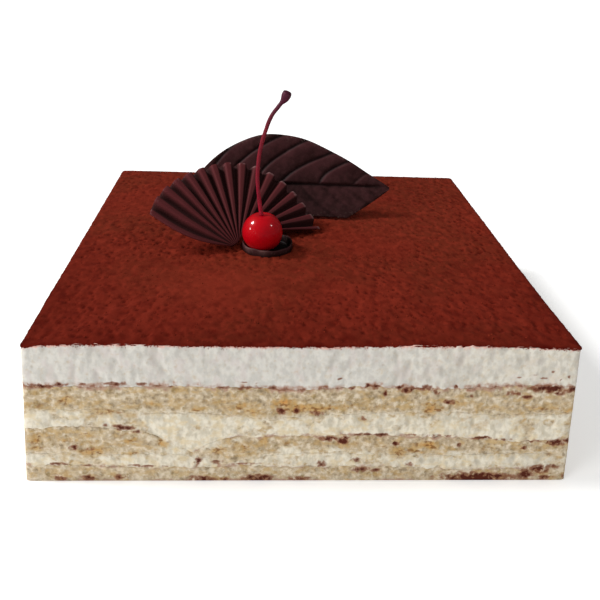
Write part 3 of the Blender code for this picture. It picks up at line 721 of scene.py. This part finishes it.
def cocoaPiece(finish):
    bm = bmesh.new()
    bmesh.ops.create_grid(bm, x_segments=cocoa["cells"], y_segments=cocoa["cells"], size=1.0)
    rim = [e for e in bm.edges if e.is_boundary]
    for level in range(1, cocoa["fringeRows"] + 3):
        grown = bmesh.ops.extrude_edge_only(bm, edges=rim)["geom"]
        rim = [g for g in grown if isinstance(g, bmesh.types.BMEdge)]
        for v in grown:
            if isinstance(v, bmesh.types.BMVert):
                v.co.z = -level
    bmesh.ops.edgeloop_fill(bm, edges=rim)
    bmesh.ops.recalc_face_normals(bm, faces=bm.faces[:])
    mesh = meshFrom(bm, "cocoa_powder")
    unit = readPoints(mesh)
    level = -unit[:, 2]
    reach = cake["side"] / 2
    x, y = unit[:, 0] * reach, unit[:, 1] * reach
    z, pits = cocoaHeight(x, y)
    edge = np.stack((x, y, np.full_like(x, cake["height"])), 1)
    depth = np.clip(cocoa["fringe"] * (1.0 + swells(edge, cocoa["fringeSwells"])), *cocoa["fringeEnds"])
    step = np.clip(level / cocoa["fringeRows"], 0.0, 1.0)
    z -= depth * step
    proud = cocoa["proud"] + swells(edge, cocoa["proudSwells"])
    size = 1.0 + proud * np.sin(np.pi * np.clip(step, 0, 0.75)) / reach
    size = np.where(level > 0, size, 1.0)
    size = np.where(level > cocoa["fringeRows"], 1.0 - 0.6 / reach, size)
    buried = level > cocoa["fringeRows"] + 1
    size = np.where(buried, 1.0 - cocoa["inset"] / reach, size)
    z = np.where(buried, cocoa["under"], z)
    away = np.maximum(np.maximum(np.abs(x), np.abs(y)), 0.001)
    power = cake["cornerPower"]
    size *= np.maximum((np.abs(x) / away) ** power + (np.abs(y) / away) ** power, 1.0) ** (-1.0 / power)
    writePoints(mesh, np.stack((x * size, y * size, z), 1))
    inward = reach - np.maximum(np.abs(x), np.abs(y))
    # painted shade in the pits
    paintPoints(mesh, "pit", 0.75 * pits)
    # painted light: a pool of lighter colour on the smooth spot
    paintPoints(mesh, "lightened", baldness(x, y))
    # painted shade: darker towards the front, towards the edges and at the rounded rim, and in patches where
    # the clod swells are low
    nearer = 0.15 + 0.85 * softStep(-y, -40.0, 90.0)
    shade = nearer * (0.2 + 0.35 * np.exp(-inward / 16.0)) + 0.2 * np.exp(-inward / 0.8)
    paintPoints(mesh, "rim", shade + 0.3 * np.clip(-swells(onPowder(x, y), cocoa["clods"]) - 0.1, 0, 1))
    return addPiece("cocoa_powder", mesh, finish, ["cocoa_dusting"])


def grainMesh(name, centres, sizes, seed):
    # many small lumps joined in one mesh: one shape copied, turned and sized at random
    bm = bmesh.new()
    bmesh.ops.create_icosphere(bm, subdivisions=1, radius=1.0)
    shape = np.array([v.co[:] for v in bm.verts])
    faces = np.array([[v.index for v in f.verts] for f in bm.faces])
    bm.free()
    random = np.random.default_rng(seed)
    count = len(centres)
    squash = random.uniform(0.6, 1.25, (count, 1, 3))
    jolt = random.uniform(0.8, 1.2, (count, len(shape), 1))
    spin = random.uniform(0, 2 * np.pi, count)
    body = shape[None] * squash * jolt * sizes[:, None, None]
    c, d = np.cos(spin)[:, None], np.sin(spin)[:, None]
    x, y, z = body[..., 0], body[..., 1], body[..., 2]
    points = (np.stack((x * c - y * d, x * d + y * c, z), 2) + centres[:, None, :]).reshape(-1, 3) * mm
    corners = (faces[None] + (np.arange(count) * len(shape))[:, None, None]).reshape(-1, 3)
    mesh = bpy.data.meshes.new(name)
    mesh.from_pydata(points.tolist(), [], corners.tolist())
    mesh.update()
    return mesh


def cocoaGrains(finish):
    random = np.random.default_rng(121)
    reach = cake["side"] / 2 - 0.3
    x, y = random.uniform(-reach, reach, (2, cocoa["grains"]))
    keep = np.hypot(x - dish["x"], y - dish["y"]) > dish["radius"] + 0.3
    x, y = x[keep], y[keep]
    small, large = cocoa["grainSize"]
    sizes = small + (large - small) * random.uniform(0, 1, len(x)) ** 3
    z = cocoaHeight(x, y)[0]
    mesh = grainMesh("cocoa_grains", np.stack((x, y, z), 1), sizes, 122)
    addPiece("cocoa_grains", mesh, finish, [])

    s = random.uniform(0, 4, cocoa["edgeGrains"])
    fall = np.minimum(random.exponential(cocoa["edgeFall"], len(s)), cocoa["edgeFallMost"])
    sizes = small * random.uniform(0.5, 1.3, len(s)) / (1.0 + 0.35 * fall)
    places, out = wallPlace(s, np.full_like(s, cake["height"]))
    places += out * (0.04 - 0.1 * (fall > 1.2))[:, None]
    places[:, 2] += rimRise(s) - 0.55 - fall
    mesh = grainMesh("cocoa_edge_grains", places, sizes, 123)
    # painted light: the edge grains are made lighter against the shade they lie in
    paintPoints(mesh, "lightened", np.ones(len(mesh.vertices)))
    addPiece("cocoa_edge_grains", mesh, finish, [])


cocoaLook = cocoaFinish()
cocoaPiece(cocoaLook)
cocoaGrains(cocoaLook)
print("cocoa made")

# chocolate
fan = {"x": -25.1, "y": -11.4, "z": 3.9, "heading": 30.8, "tilt": 39.6, "ridges": 15, "left": 1 / 6,
       "first": 149.1, "step": 10.26, "reach": 42.5, "depth": 1.75, "rootDepth": 0.25,
       "notch": 0.2, "uneven": 1.4, "sag": 3.9, "sagWidth": 0.12, "thick": 1.1,
       "rootLeft": -6.8, "rootWidth": 8.0, "rootLow": -2.4, "rootRise": 6.4,
       "flat": 0.16, "perPleat": 20, "rows": 64,
       "base": (0.045, 0.0098, 0.0095), "lit": (0.094, 0.0186, 0.0206), "shade": (0.036, 0.0112, 0.0110),
       # the last colour paints the highlights on the pleats' lit ends
       "chipsAndHighlight": (0.20, 0.105, 0.105)}
leaf = {"x": 49.9, "y": 35.0, "z": 14.0, "heading": -3.0, "tilt": 59.4, "turn": 0.45,
        "length": 101.9, "upper": 25.1, "lower": 30.8, "rib": 0.5, "blunt": 0.73, "shift": 1.3,
        "cup": 6.3, "curl": 5.2, "cupAt": 28.0, "bow": 1.1, "ripple": 0.45, "ripples": 4.5,
        "thick": 1.4, "clear": 1.0, "columns": 240, "rows": 140,
        # side veins: distance of the start from the tip, lean and bend towards the tip, strength
        "upperVeins": ((96.0, 0.3, 0.02, 0.8), (84.5, 0.08, 0.040, 1.0), (69.8, 0.10, 0.044, 1.0),
                       (57.3, 0.47, 0.0615, 1.0), (36.5, -0.24, 0.101, 1.0), (20.0, 0.6, 0.05, 0.45)),
        "lowerVeins": ((88.0, 0.5, 0.03, 0.7), (74.0, 0.6, 0.03, 0.7), (60.0, 0.7, 0.03, 0.8),
                       (46.8, 0.72, 0.025, 1.0), (35.3, 0.95, 0.02, 1.0), (23.3, 1.1, 0.03, 0.9),
                       (13.0, 1.2, 0.03, 0.6)),
        "puff": 1.3, "puffWide": 4.0, "groove": 0.6, "grooveWide": 0.9,
        "midrib": 0.8, "midribWide": 0.8,
        "base": (0.0200, 0.0058, 0.0056), "lit": (0.094, 0.0300, 0.0330), "shade": (0.0065, 0.0021, 0.0021),
        "chipsAndHighlight": (0.12, 0.085, 0.070)}


def chocolateFinish(look, name, rough, shine, level, fineness, bump):
    tree, shader, finish = newFinish(name, rough, Coat_Weight=shine, Coat_Roughness=0.2,
                                     Specular_IOR_Level=level)
    mottled = spread(tree, grain(tree, fineness, 3.0, 0.5), 0.35, 0.7, 0.0, 0.3)
    base = blend(tree, mottled, look["base"], look["lit"])
    # painted light on crests and painted shade in valleys
    base = blend(tree, painted(tree, "crest"), base, look["lit"])
    base = blend(tree, painted(tree, "valley"), base, look["shade"])
    speck = spread(tree, grain(tree, 1.3, 2.0, 0.5, shift=0.7), 0.56, 0.68)
    # pale specks near the leaf's edge and on the dish rim, and painted highlights on the fan's lit pleat ends
    base = blend(tree, sums(tree, "MULTIPLY", speck, painted(tree, "chipsAndHighlight")), base, look["chipsAndHighlight"])
    # painted highlights: the lit ends of the fan's pleats and the glints on the dish rim
    base = blend(tree, painted(tree, "tip"), base, look["chipsAndHighlight"])
    tree.links.new(base, shader.inputs["Base Color"])
    bumped(tree, shader, grain(tree, 0.9, 3.0, 0.6), bump, 0.5)
    return finish


def frameAxes(heading, tilt):
    h, t = math.radians(heading), math.radians(tilt)
    across = np.array((math.cos(h), math.sin(h), 0.0))
    up = np.array((-math.sin(h) * math.cos(t), math.cos(h) * math.cos(t), math.sin(t)))
    return across, up, np.cross(across, up)


def sheetPiece(name, columns, rows, shape, way, finish, node):
    # thin closed sheet: shape(u, v) gives its points, thickness and marks, way is the upper side
    bm = bmesh.new()
    bmesh.ops.create_grid(bm, x_segments=columns, y_segments=rows, size=0.5)
    upper = bmesh.ops.extrude_face_region(bm, geom=bm.faces[:])
    for v in upper["geom"]:
        if isinstance(v, bmesh.types.BMVert):
            v.co.z = 1.0
    bmesh.ops.recalc_face_normals(bm, faces=bm.faces[:])
    mesh = meshFrom(bm, name)
    unit = readPoints(mesh)
    points, thick, marks = shape(unit[:, 0] + 0.5, unit[:, 1] + 0.5)
    points += np.outer((unit[:, 2] - 0.5) * thick, way)
    writePoints(mesh, points + np.array((0.0, 0.0, cake["height"])))
    for key, values in marks.items():
        paintPoints(mesh, key, values)
    return addPiece(name, mesh, finish, [node])


def fanPiece(finish):
    across, up, normal = frameAxes(fan["heading"], fan["tilt"])
    span = fan["ridges"] + fan["left"]

    def shape(u, v):
        k = span * u - fan["left"]
        angle = np.radians(fan["first"] - fan["step"] * k)
        soft = np.abs(np.cos(np.pi * k)) ** 1.4
        side = k - np.round(k)                  # below 0 on a pleat's left flank
        ridge = 1.0 - softStep(np.abs(side), fan["flat"], 0.5)
        reach = fan["reach"] + fan["uneven"] * np.cos(2 * np.pi * k / 9) - fan["notch"] * (1.0 - soft)
        rootX, rootY = fan["rootLeft"] + fan["rootWidth"] * u, fan["rootLow"] + fan["rootRise"] * u * u
        sag = fan["sag"] * np.maximum(0.0, 1.0 - u / fan["sagWidth"]) * np.sin(np.pi * v)
        x = rootX + (np.cos(angle) * reach - rootX) * v - 0.5 * sag
        y = rootY + (np.sin(angle) * reach - rootY) * v - 0.87 * sag
        fold = 2.0 * (fan["rootDepth"] + fan["depth"] * v) * (ridge - 1.0)
        home = np.array((fan["x"], fan["y"], fan["z"]))
        points = home + np.outer(x, across) + np.outer(y, up) + np.outer(fold, normal)
        rim = np.minimum(1.0, 40.0 * (1.0 - v)) * np.minimum(1.0, 90.0 * np.minimum(u, 1.0 - u))
        thick = fan["thick"] * (0.45 + 0.55 * np.sqrt(rim))
        points += 0.10 * lumps(points, 7.0, 126)[:, None] * normal
        # painted light and shade: left flanks lit with a highlight along each crest, right flanks shaded
        lit = softStep(-side, -0.24, -0.1) * softStep(0.42 + side, 0.0, 0.2)
        crest = lit * (0.3 + 0.5 * v) + 0.45 * np.exp(-((side + 0.12) / 0.07) ** 2)
        # painted highlights on the lit outer ends of the pleats, brightest to the right
        chipsAndHighlight = softStep(v, 0.95, 0.985) * lit * (0.25 + 0.75 * softStep(u, 0.35, 0.65))
        tip = 0.75 * softStep(v, 0.965, 0.99) * lit * softStep(u, 0.5, 0.62)
        return points, thick, {"crest": np.clip(crest, 0, 1), "valley": 1.0 - lit, "chipsAndHighlight": chipsAndHighlight, "tip": tip}

    columns = int(round(span * fan["perPleat"]))
    return sheetPiece("chocolate_fan_pleats", columns, fan["rows"], shape, normal, finish, "chocolate_fan")


def leafPiece(finish):
    across, up, normal = frameAxes(leaf["heading"], leaf["tilt"])
    turn = math.radians(leaf["turn"])
    along = -(across * math.cos(turn) + up * math.sin(turn))
    over = np.cross(along, normal)              # from the midrib to the upper edge
    tip = np.array((leaf["x"], leaf["y"], leaf["z"]))

    def place(u, f):
        wide = np.maximum(np.sin(np.pi * u ** leaf["shift"]), 0.0) ** leaf["blunt"]
        reach = f * (wide * np.where(f > 0, leaf["upper"], leaf["lower"]) + leaf["rib"])
        cup = np.where(f > 0, leaf["cup"], leaf["curl"]) * (reach / leaf["cupAt"]) ** 2
        lift = cup + 4 * leaf["bow"] * u * (1 - u)
        lift += leaf["ripple"] * np.sin(2 * np.pi * (leaf["ripples"] * u + 0.3 * np.abs(f))) * f * f
        points = tip + np.outer(u * leaf["length"], along) + np.outer(reach, over) + np.outer(lift, normal)
        return points, reach

    def relief(a, reach):
        # height of the puffed panels, and depth of the grooves between them
        puff, groove = np.zeros_like(a), np.zeros_like(a)
        for veins, upper in ((leaf["upperVeins"], True), (leaf["lowerVeins"], False)):
            h = np.maximum(reach if upper else -reach, 0.0)
            shown = softStep(h, 0.2, 2.0) * (1.0 if upper else 0.3)
            for start, lean, bend, strength in veins:
                away = (start - lean * h - bend * h * h - a) / np.hypot(1.0, lean + 2 * bend * h)
                swell = softStep(away, -0.3, 1.6) * np.exp(-np.maximum(away, 0) / leaf["puffWide"])
                puff = np.maximum(puff, swell * shown * strength)
                groove = np.maximum(groove, np.exp(-(away / leaf["grooveWide"]) ** 2) * shown * strength)
        u = a / leaf["length"]
        rib = np.exp(-((reach - leaf["midrib"]) / leaf["midribWide"]) ** 2)
        return puff, np.maximum(groove, rib * np.clip(9 * u, 0, 1) * np.clip(6 * (1 - u), 0, 1))

    def shape(u, v):
        u = 0.5 - 0.5 * np.cos(np.pi * u)
        steps = np.linspace(-1.0, 0.0, 201)
        columns, which = np.unique(np.round(u, 9), return_inverse=True)
        heights = place(np.repeat(columns, 201), np.tile(steps, len(columns)))[0][:, 2].reshape(-1, 201)
        foot = steps[np.argmax(heights >= leaf["clear"], axis=1)][which]
        f = foot + (1.0 - foot) * v
        points, reach = place(u, f)
        puff, groove = relief(u * leaf["length"], reach)
        calm = 1.0 - np.abs(f) ** 8
        lift = leaf["puff"] * puff - leaf["groove"] * groove + 0.12 * lumps(points, 5.0, 127)
        points += np.outer(lift * calm, normal)
        rim = np.clip(14.0 * (1.0 - f), 0, 1) * np.where(f < 0, np.clip(14.0 * v, 0, 1), 1.0)
        end = np.clip(30.0 * np.minimum(u, 1.0 - u), 0, 1)
        thick = leaf["thick"] * (0.4 + 0.6 * np.sqrt(rim * end))
        edge = np.minimum((1.0 - f) * leaf["upper"], v * leaf["lower"])
        # painted light on the puffed panels, painted shade in the grooves, pale specks near the edge
        marks = {"crest": 0.8 * puff * np.clip(1.0 - groove, 0, 1), "valley": 0.9 * groove,
                 "chipsAndHighlight": 0.04 + 0.85 * np.exp(-np.maximum(edge, 0.0) / 0.9)}
        return points, thick, marks

    return sheetPiece("chocolate_leaf_veined", leaf["columns"], leaf["rows"], shape, -normal, finish,
                      "chocolate_leaf")


def turned(profile, steps):
    # closed shape turned round Z from (radius, height) pairs that begin and end on the axis
    bm = bmesh.new()
    verts = [bm.verts.new((r, 0.0, z)) for r, z in profile]
    edges = [bm.edges.new(pair) for pair in zip(verts, verts[1:])]
    bmesh.ops.spin(bm, geom=verts + edges, cent=(0, 0, 0), axis=(0, 0, 1), angle=2 * math.pi, steps=steps,
                   use_merge=True)
    bmesh.ops.remove_doubles(bm, verts=bm.verts[:], dist=0.001)
    bmesh.ops.recalc_face_normals(bm, faces=bm.faces[:])
    return bm


def dishPiece(finish):
    r, low, rim, soft = dish["radius"], -dish["sunk"], dish["rim"], dish["round"]
    floor, inner = low + dish["floor"], dish["radius"] - dish["wall"]
    profile = [(0.0, floor), (4.0, floor), (7.5, floor), (inner - 1.4 * soft, floor),
               (inner - 0.5 * soft, floor + 0.4 * soft), (inner, floor + 1.3 * soft),
               (inner + 0.1, rim - 1.2 * soft)]
    for i in range(9):
        angle = math.pi * (1.0 - i / 8)
        profile.append((r - 0.78 * soft + 0.78 * soft * math.cos(angle), rim - soft + soft * math.sin(angle)))
    profile += [(r, low + 1.8 * soft), (r - 0.35 * soft, low + 0.7 * soft), (r - 1.4 * soft, low), (0.0, low)]
    mesh = meshFrom(turned(profile, dish["steps"]), "chocolate_dish_rim")
    points = readPoints(mesh)
    angle = np.arctan2(points[:, 1], points[:, 0])
    rise = softStep(points[:, 2], 0.5, rim)
    circle = np.stack((np.cos(angle), np.sin(angle), np.zeros_like(angle)), 1) * r
    points[:, 2] += rise * (0.35 * lumps(circle, 6.0, 131) + 0.12 * lumps(circle, 2.0, 132))
    swell = 1.0 + rise * (0.02 * lumps(circle, 5.0, 133))
    points[:, 0] *= swell
    points[:, 1] *= swell
    # painted highlights on the rim's top, painted shade on its lower parts and inside
    glint = sum(np.exp(-((angle - way) / wide) ** 2) for way, wide in dish["glints"]) * rise ** 3
    inside = np.clip(2.0 * (dish["radius"] - dish["round"] - np.hypot(points[:, 0], points[:, 1])), 0, 1)
    marks = {"crest": np.clip(0.15 * rise + 0.9 * glint, 0, 1),
             "valley": np.maximum(0.6 * (1.0 - rise), inside),
             "chipsAndHighlight": 0.3 * rise, "tip": 0.35 * np.clip(glint, 0, 1)}
    for key, share in marks.items():
        paintPoints(mesh, key, share)
    writePoints(mesh, points + np.array((dish["x"], dish["y"], cake["height"])))
    return addPiece("chocolate_dish_rim", mesh, finish, ["chocolate_dish"])


# finish of each: roughness, coat, specular level, size of its mottling, bump
fanPiece(chocolateFinish(fan, "fanChocolate", 0.6, 0.0, 0.06, 5.0, 0.08))
leafPiece(chocolateFinish(leaf, "leafChocolate", 0.6, 0.0, 0.1, 4.0, 0.2))
dishPiece(chocolateFinish(leaf, "dishChocolate", 0.5, 0.0, 0.08, 3.0, 0.06))
print("chocolate made")

# cherry and stalk
cherry = {"x": -16.2, "y": -14.5, "radius": 9.25, "tall": 0.99, "dimple": 1.0, "dimpleReach": 4.5,
          "lift": 0.15, "red": (0.42, 0.0008, 0.0050), "dark": (0.33, 0.0006, 0.0065)}
stalk = {"radius": 0.88, "foot": 1.1, "knob": 2.15, "knobLength": 5.0, "knobRound": 0.7, "bow": 0.8,
         "sides": 20, "steps": 9,
         "path": ((-0.6, 0.0), (-2.0, 9.5), (-2.6, 17.3), (-2.2, 26.3), (-0.5, 35.3),
                  (2.5, 44.4), (6.0, 49.9), (8.3, 53.0), (9.5, 56.2)),
         "footColour": (0.30, 0.006, 0.020), "middleColour": (0.20, 0.0075, 0.017),
         "tipColour": (0.075, 0.013, 0.028)}
cherry["high"] = cherry["radius"] * cherry["tall"]
cherry["z"] = cake["height"] - dish["sunk"] + dish["floor"] + cherry["lift"] + cherry["high"]


def cherryFinish():
    tree, shader, finish = newFinish("cherryGlaze", 0.3, Coat_Weight=0.8, Coat_Roughness=0.09,
                                     Specular_IOR_Level=0.1)
    tone = spread(tree, grain(tree, 6.0, 3.0, 0.55), 0.35, 0.65)
    colour = blend(tree, tone, cherry["dark"], cherry["red"])
    tree.links.new(blend(tree, 0.6, colour, cherry["red"]), shader.inputs["Base Color"])
    bumped(tree, shader, grain(tree, 2.5, 2.0, 0.4), 0.05, 0.3)
    return finish


def cherryPiece(finish):
    bm = bmesh.new()
    bmesh.ops.create_uvsphere(bm, u_segments=96, v_segments=64, radius=cherry["radius"])
    mesh = meshFrom(bm, "cherry_glazed")
    points = readPoints(mesh)
    points *= (1.0 + 0.006 * lumps(points, 7.0, 141) + 0.0015 * lumps(points, 2.2, 142))[:, None]
    points[:, 2] *= cherry["tall"]
    out = np.hypot(points[:, 0], points[:, 1]) / cherry["dimpleReach"]
    near = (points[:, 2] > 0) & (out < 1.0)
    points[near, 2] -= cherry["dimple"] * (1.0 - out[near] ** 2) ** 2
    writePoints(mesh, points + np.array((cherry["x"], cherry["y"], cherry["z"])))
    return addPiece("cherry_glazed", mesh, finish, ["cherry"])


def stalkFinish():
    tree, shader, finish = newFinish("stalkSkin", 0.4, Coat_Weight=0.1, Coat_Roughness=0.2,
                                     Specular_IOR_Level=0.25)
    climb = painted(tree, "climb")
    colour = blend(tree, spread(tree, climb, 0.1, 0.55), stalk["footColour"], stalk["middleColour"])
    colour = blend(tree, spread(tree, climb, 0.6, 0.95), colour, stalk["tipColour"])
    streaks = spread(tree, grain(tree, 1.0, 3.0, 0.6, (1, 1, 0.15)), 0.35, 0.7, 0.0, 0.4)
    tree.links.new(blend(tree, streaks, colour, stalk["tipColour"]), shader.inputs["Base Color"])
    bumped(tree, shader, grain(tree, 0.7, 2.0, 0.5, (1, 1, 0.2)), 0.08, 0.5)
    return finish


def smoothPath(points, steps):
    ends = [points[0]] + list(points) + [points[-1]]
    path = []
    for i in range(len(points) - 1):
        a, b, c, d = (Vector(p) for p in ends[i:i + 4])
        for j in range(steps):
            t = j / steps
            path.append(0.5 * (2 * b + (c - a) * t + (2 * a - 5 * b + 4 * c - d) * t ** 2
                               + (3 * b - a - 3 * c + d) * t ** 3))
    path.append(Vector(points[-1]))
    return path


def stalkPiece(finish):
    path = smoothPath(stalk["path"], stalk["steps"])
    top = path[-1].y
    foot = cherry["z"] + cherry["high"] - cherry["dimple"]
    bm = bmesh.new()
    ringVerts = bmesh.ops.create_circle(bm, cap_ends=True, segments=stalk["sides"], radius=1.0)["verts"]
    shape = [v.co.copy() for v in ringVerts]
    face = bm.faces[:]
    loops = []
    for i in range(len(path)):
        if i:
            grown = bmesh.ops.extrude_face_region(bm, geom=face)["geom"]
            old = face
            face = [g for g in grown if isinstance(g, bmesh.types.BMFace)]
            ringVerts = [g for g in grown if isinstance(g, bmesh.types.BMVert)]
            if i > 1:
                bmesh.ops.delete(bm, geom=old, context="FACES_ONLY")
        loops.append(ringVerts)
    for i, (place, loop) in enumerate(zip(path, loops)):
        t = place.y / top
        ahead = path[min(i + 1, len(path) - 1)] - path[max(i - 1, 0)]
        ahead.normalize()
        side = Vector((ahead.y, 0.0, -ahead.x))
        flare = max(0.0, 1.0 - (top - place.y) / stalk["knobLength"])
        knob = (stalk["knob"] / stalk["radius"] - 1.0) * math.sin(min(1.0, 1.35 * flare) * math.pi / 2)
        size = stalk["radius"] * (1.0 + (stalk["foot"] - 1.0) * max(0.0, 1 - 8 * t)
                                  + knob * (1.0 - 0.45 * flare ** 6))
        bow = stalk["bow"] * math.sin(math.pi * t)
        middle = Vector((cherry["x"] + place.x, cherry["y"] + bow, foot + place.y))
        for v, corner in zip(loop, shape):
            v.co = middle + side * (corner.x * size) + Vector((0, 1, 0)) * (corner.y * size)
    bmesh.ops.recalc_face_normals(bm, faces=bm.faces[:])
    bmesh.ops.bevel(bm, geom=face[0].edges[:], offset=stalk["knobRound"], offset_type="OFFSET",
                    affect="EDGES", segments=4, profile=0.5, material=-1)
    mesh = meshFrom(bm, "cherry_stalk")
    points = readPoints(mesh)
    climb = np.clip((points[:, 2] - foot) / top, 0, 1)
    points += 0.06 * np.stack([lumps(points, 2.5, seed) for seed in (151, 152, 153)], 1)
    writePoints(mesh, points)
    paintPoints(mesh, "climb", climb)
    return addPiece("cherry_stalk", mesh, finish, ["cherry_stem"])


cherryPiece(cherryFinish())
stalkPiece(stalkFinish())
print("cherry made")

# studio
studio = {
    "pitch": 23.9875, "yaw": -3.673, "roll": 2.4786,
    "place": (-0.01792631, -0.31476965, 0.19139196),
    "focal": 42.5874, "frame": 36.0, "shift": -1.0 / 12.0,      # shift as a share of the picture
    "sky": 0.42, "mirrored": 0.05,      # surroundings, on matt things and in shiny ones
    "floor": (0.93, 0.93, 0.925), "glow": 0.3,
    # how bright each lamp makes a white card that faces it by the cake
    "key": {"way": (-0.72, 0.12, 0.69), "angle": 12.0, "light": 0.70},
    "lamps": {
        "front": {"place": (-1.1, -0.85, 0.5), "size": 0.7, "light": 0.44, "mirrored": False},
        "left": {"place": (-0.76, -0.144, 0.342), "size": 0.08, "light": 0.07, "mirrored": True},
        "right": {"place": (0.544, -0.176, 0.622), "size": 0.08, "light": 0.045, "mirrored": True},
    },
}


def aim(thing, place, target):
    thing.location = place
    thing.rotation_euler = (Vector(target) - Vector(place)).to_track_quat("-Z", "Y").to_euler()


def addKey():
    lamp = bpy.data.lights.new("key", "SUN")
    lamp.angle = math.radians(studio["key"]["angle"])
    lamp.energy = math.pi * studio["key"]["light"]
    holder = bpy.data.objects.new("key", lamp)
    scene.collection.objects.link(holder)
    aim(holder, studio["key"]["way"], (0.0, 0.0, 0.0))


def addLamp(name, place, size, light, mirrored):
    lamp = bpy.data.lights.new(name, "AREA")
    lamp.shape = "DISK"
    lamp.size = size
    lamp.energy = light * math.pi ** 2 * Vector(place).length_squared
    holder = bpy.data.objects.new(name, lamp)
    scene.collection.objects.link(holder)
    holder.visible_glossy = mirrored
    aim(holder, place, (0.0, 0.0, 0.03))


def addCamera():
    lens = bpy.data.cameras.new("camera")
    holder = bpy.data.objects.new("camera", lens)
    scene.collection.objects.link(holder)
    pitch, yaw, roll = (math.radians(studio[key]) for key in ("pitch", "yaw", "roll"))
    back = Vector((math.sin(yaw) * math.cos(pitch), -math.cos(yaw) * math.cos(pitch), math.sin(pitch)))
    right = (-back).cross(Vector((0, 0, 1))).normalized()
    up = right.cross(-back)
    x = math.cos(roll) * right + math.sin(roll) * up
    y = math.cos(roll) * up - math.sin(roll) * right
    turn = Matrix((x, y, back)).transposed().to_4x4()
    holder.matrix_world = Matrix.Translation(studio["place"]) @ turn
    lens.sensor_width = studio["frame"]
    lens.lens = studio["focal"]
    lens.shift_y = studio["shift"]
    lens.clip_start = 0.01
    scene.camera = holder


def addFloor():
    bm = bmesh.new()
    bmesh.ops.create_circle(bm, cap_ends=True, segments=96, radius=4.0)
    mesh = meshFrom(bm, "floor")
    mesh.transform(Matrix.Translation((0, 0, -0.0002)))
    floor = bpy.data.objects.new("floor", mesh)
    scene.collection.objects.link(floor)
    tree, shader, finish = newFinish("paleFloor", 0.9, Specular_IOR_Level=0.1)
    shade = spread(tree, grain(tree, 60.0, 2.0), 0.3, 0.7)
    soft = blend(tree, shade, studio["floor"], tuple(0.99 * c for c in studio["floor"]))
    tree.links.new(soft, shader.inputs["Base Color"])
    shader.inputs["Emission Color"].default_value = (1.0, 1.0, 1.0, 1.0)
    shader.inputs["Emission Strength"].default_value = studio["glow"]
    mesh.materials.append(finish)
    floor.visible_glossy = False


def addWorld():
    world = bpy.data.worlds.new("studio")
    world.use_nodes = True
    scene.world = world
    tree = world.node_tree
    rays = addNode(tree, "LightPath", {}).outputs
    light = spread(tree, rays["Is Glossy Ray"], 0.0, 1.0, studio["sky"], studio["mirrored"], smooth=False)
    light = sums(tree, "MAXIMUM", light, rays["Is Camera Ray"])
    back = tree.nodes["Background"]
    back.inputs["Color"].default_value = (1.0, 1.0, 1.0, 1.0)
    tree.links.new(light, back.inputs["Strength"])


addCamera()
addFloor()
addWorld()
addKey()
for name, lamp in studio["lamps"].items():
    addLamp(name, **lamp)
scene.view_settings.view_transform = "Standard"
print("studio made")
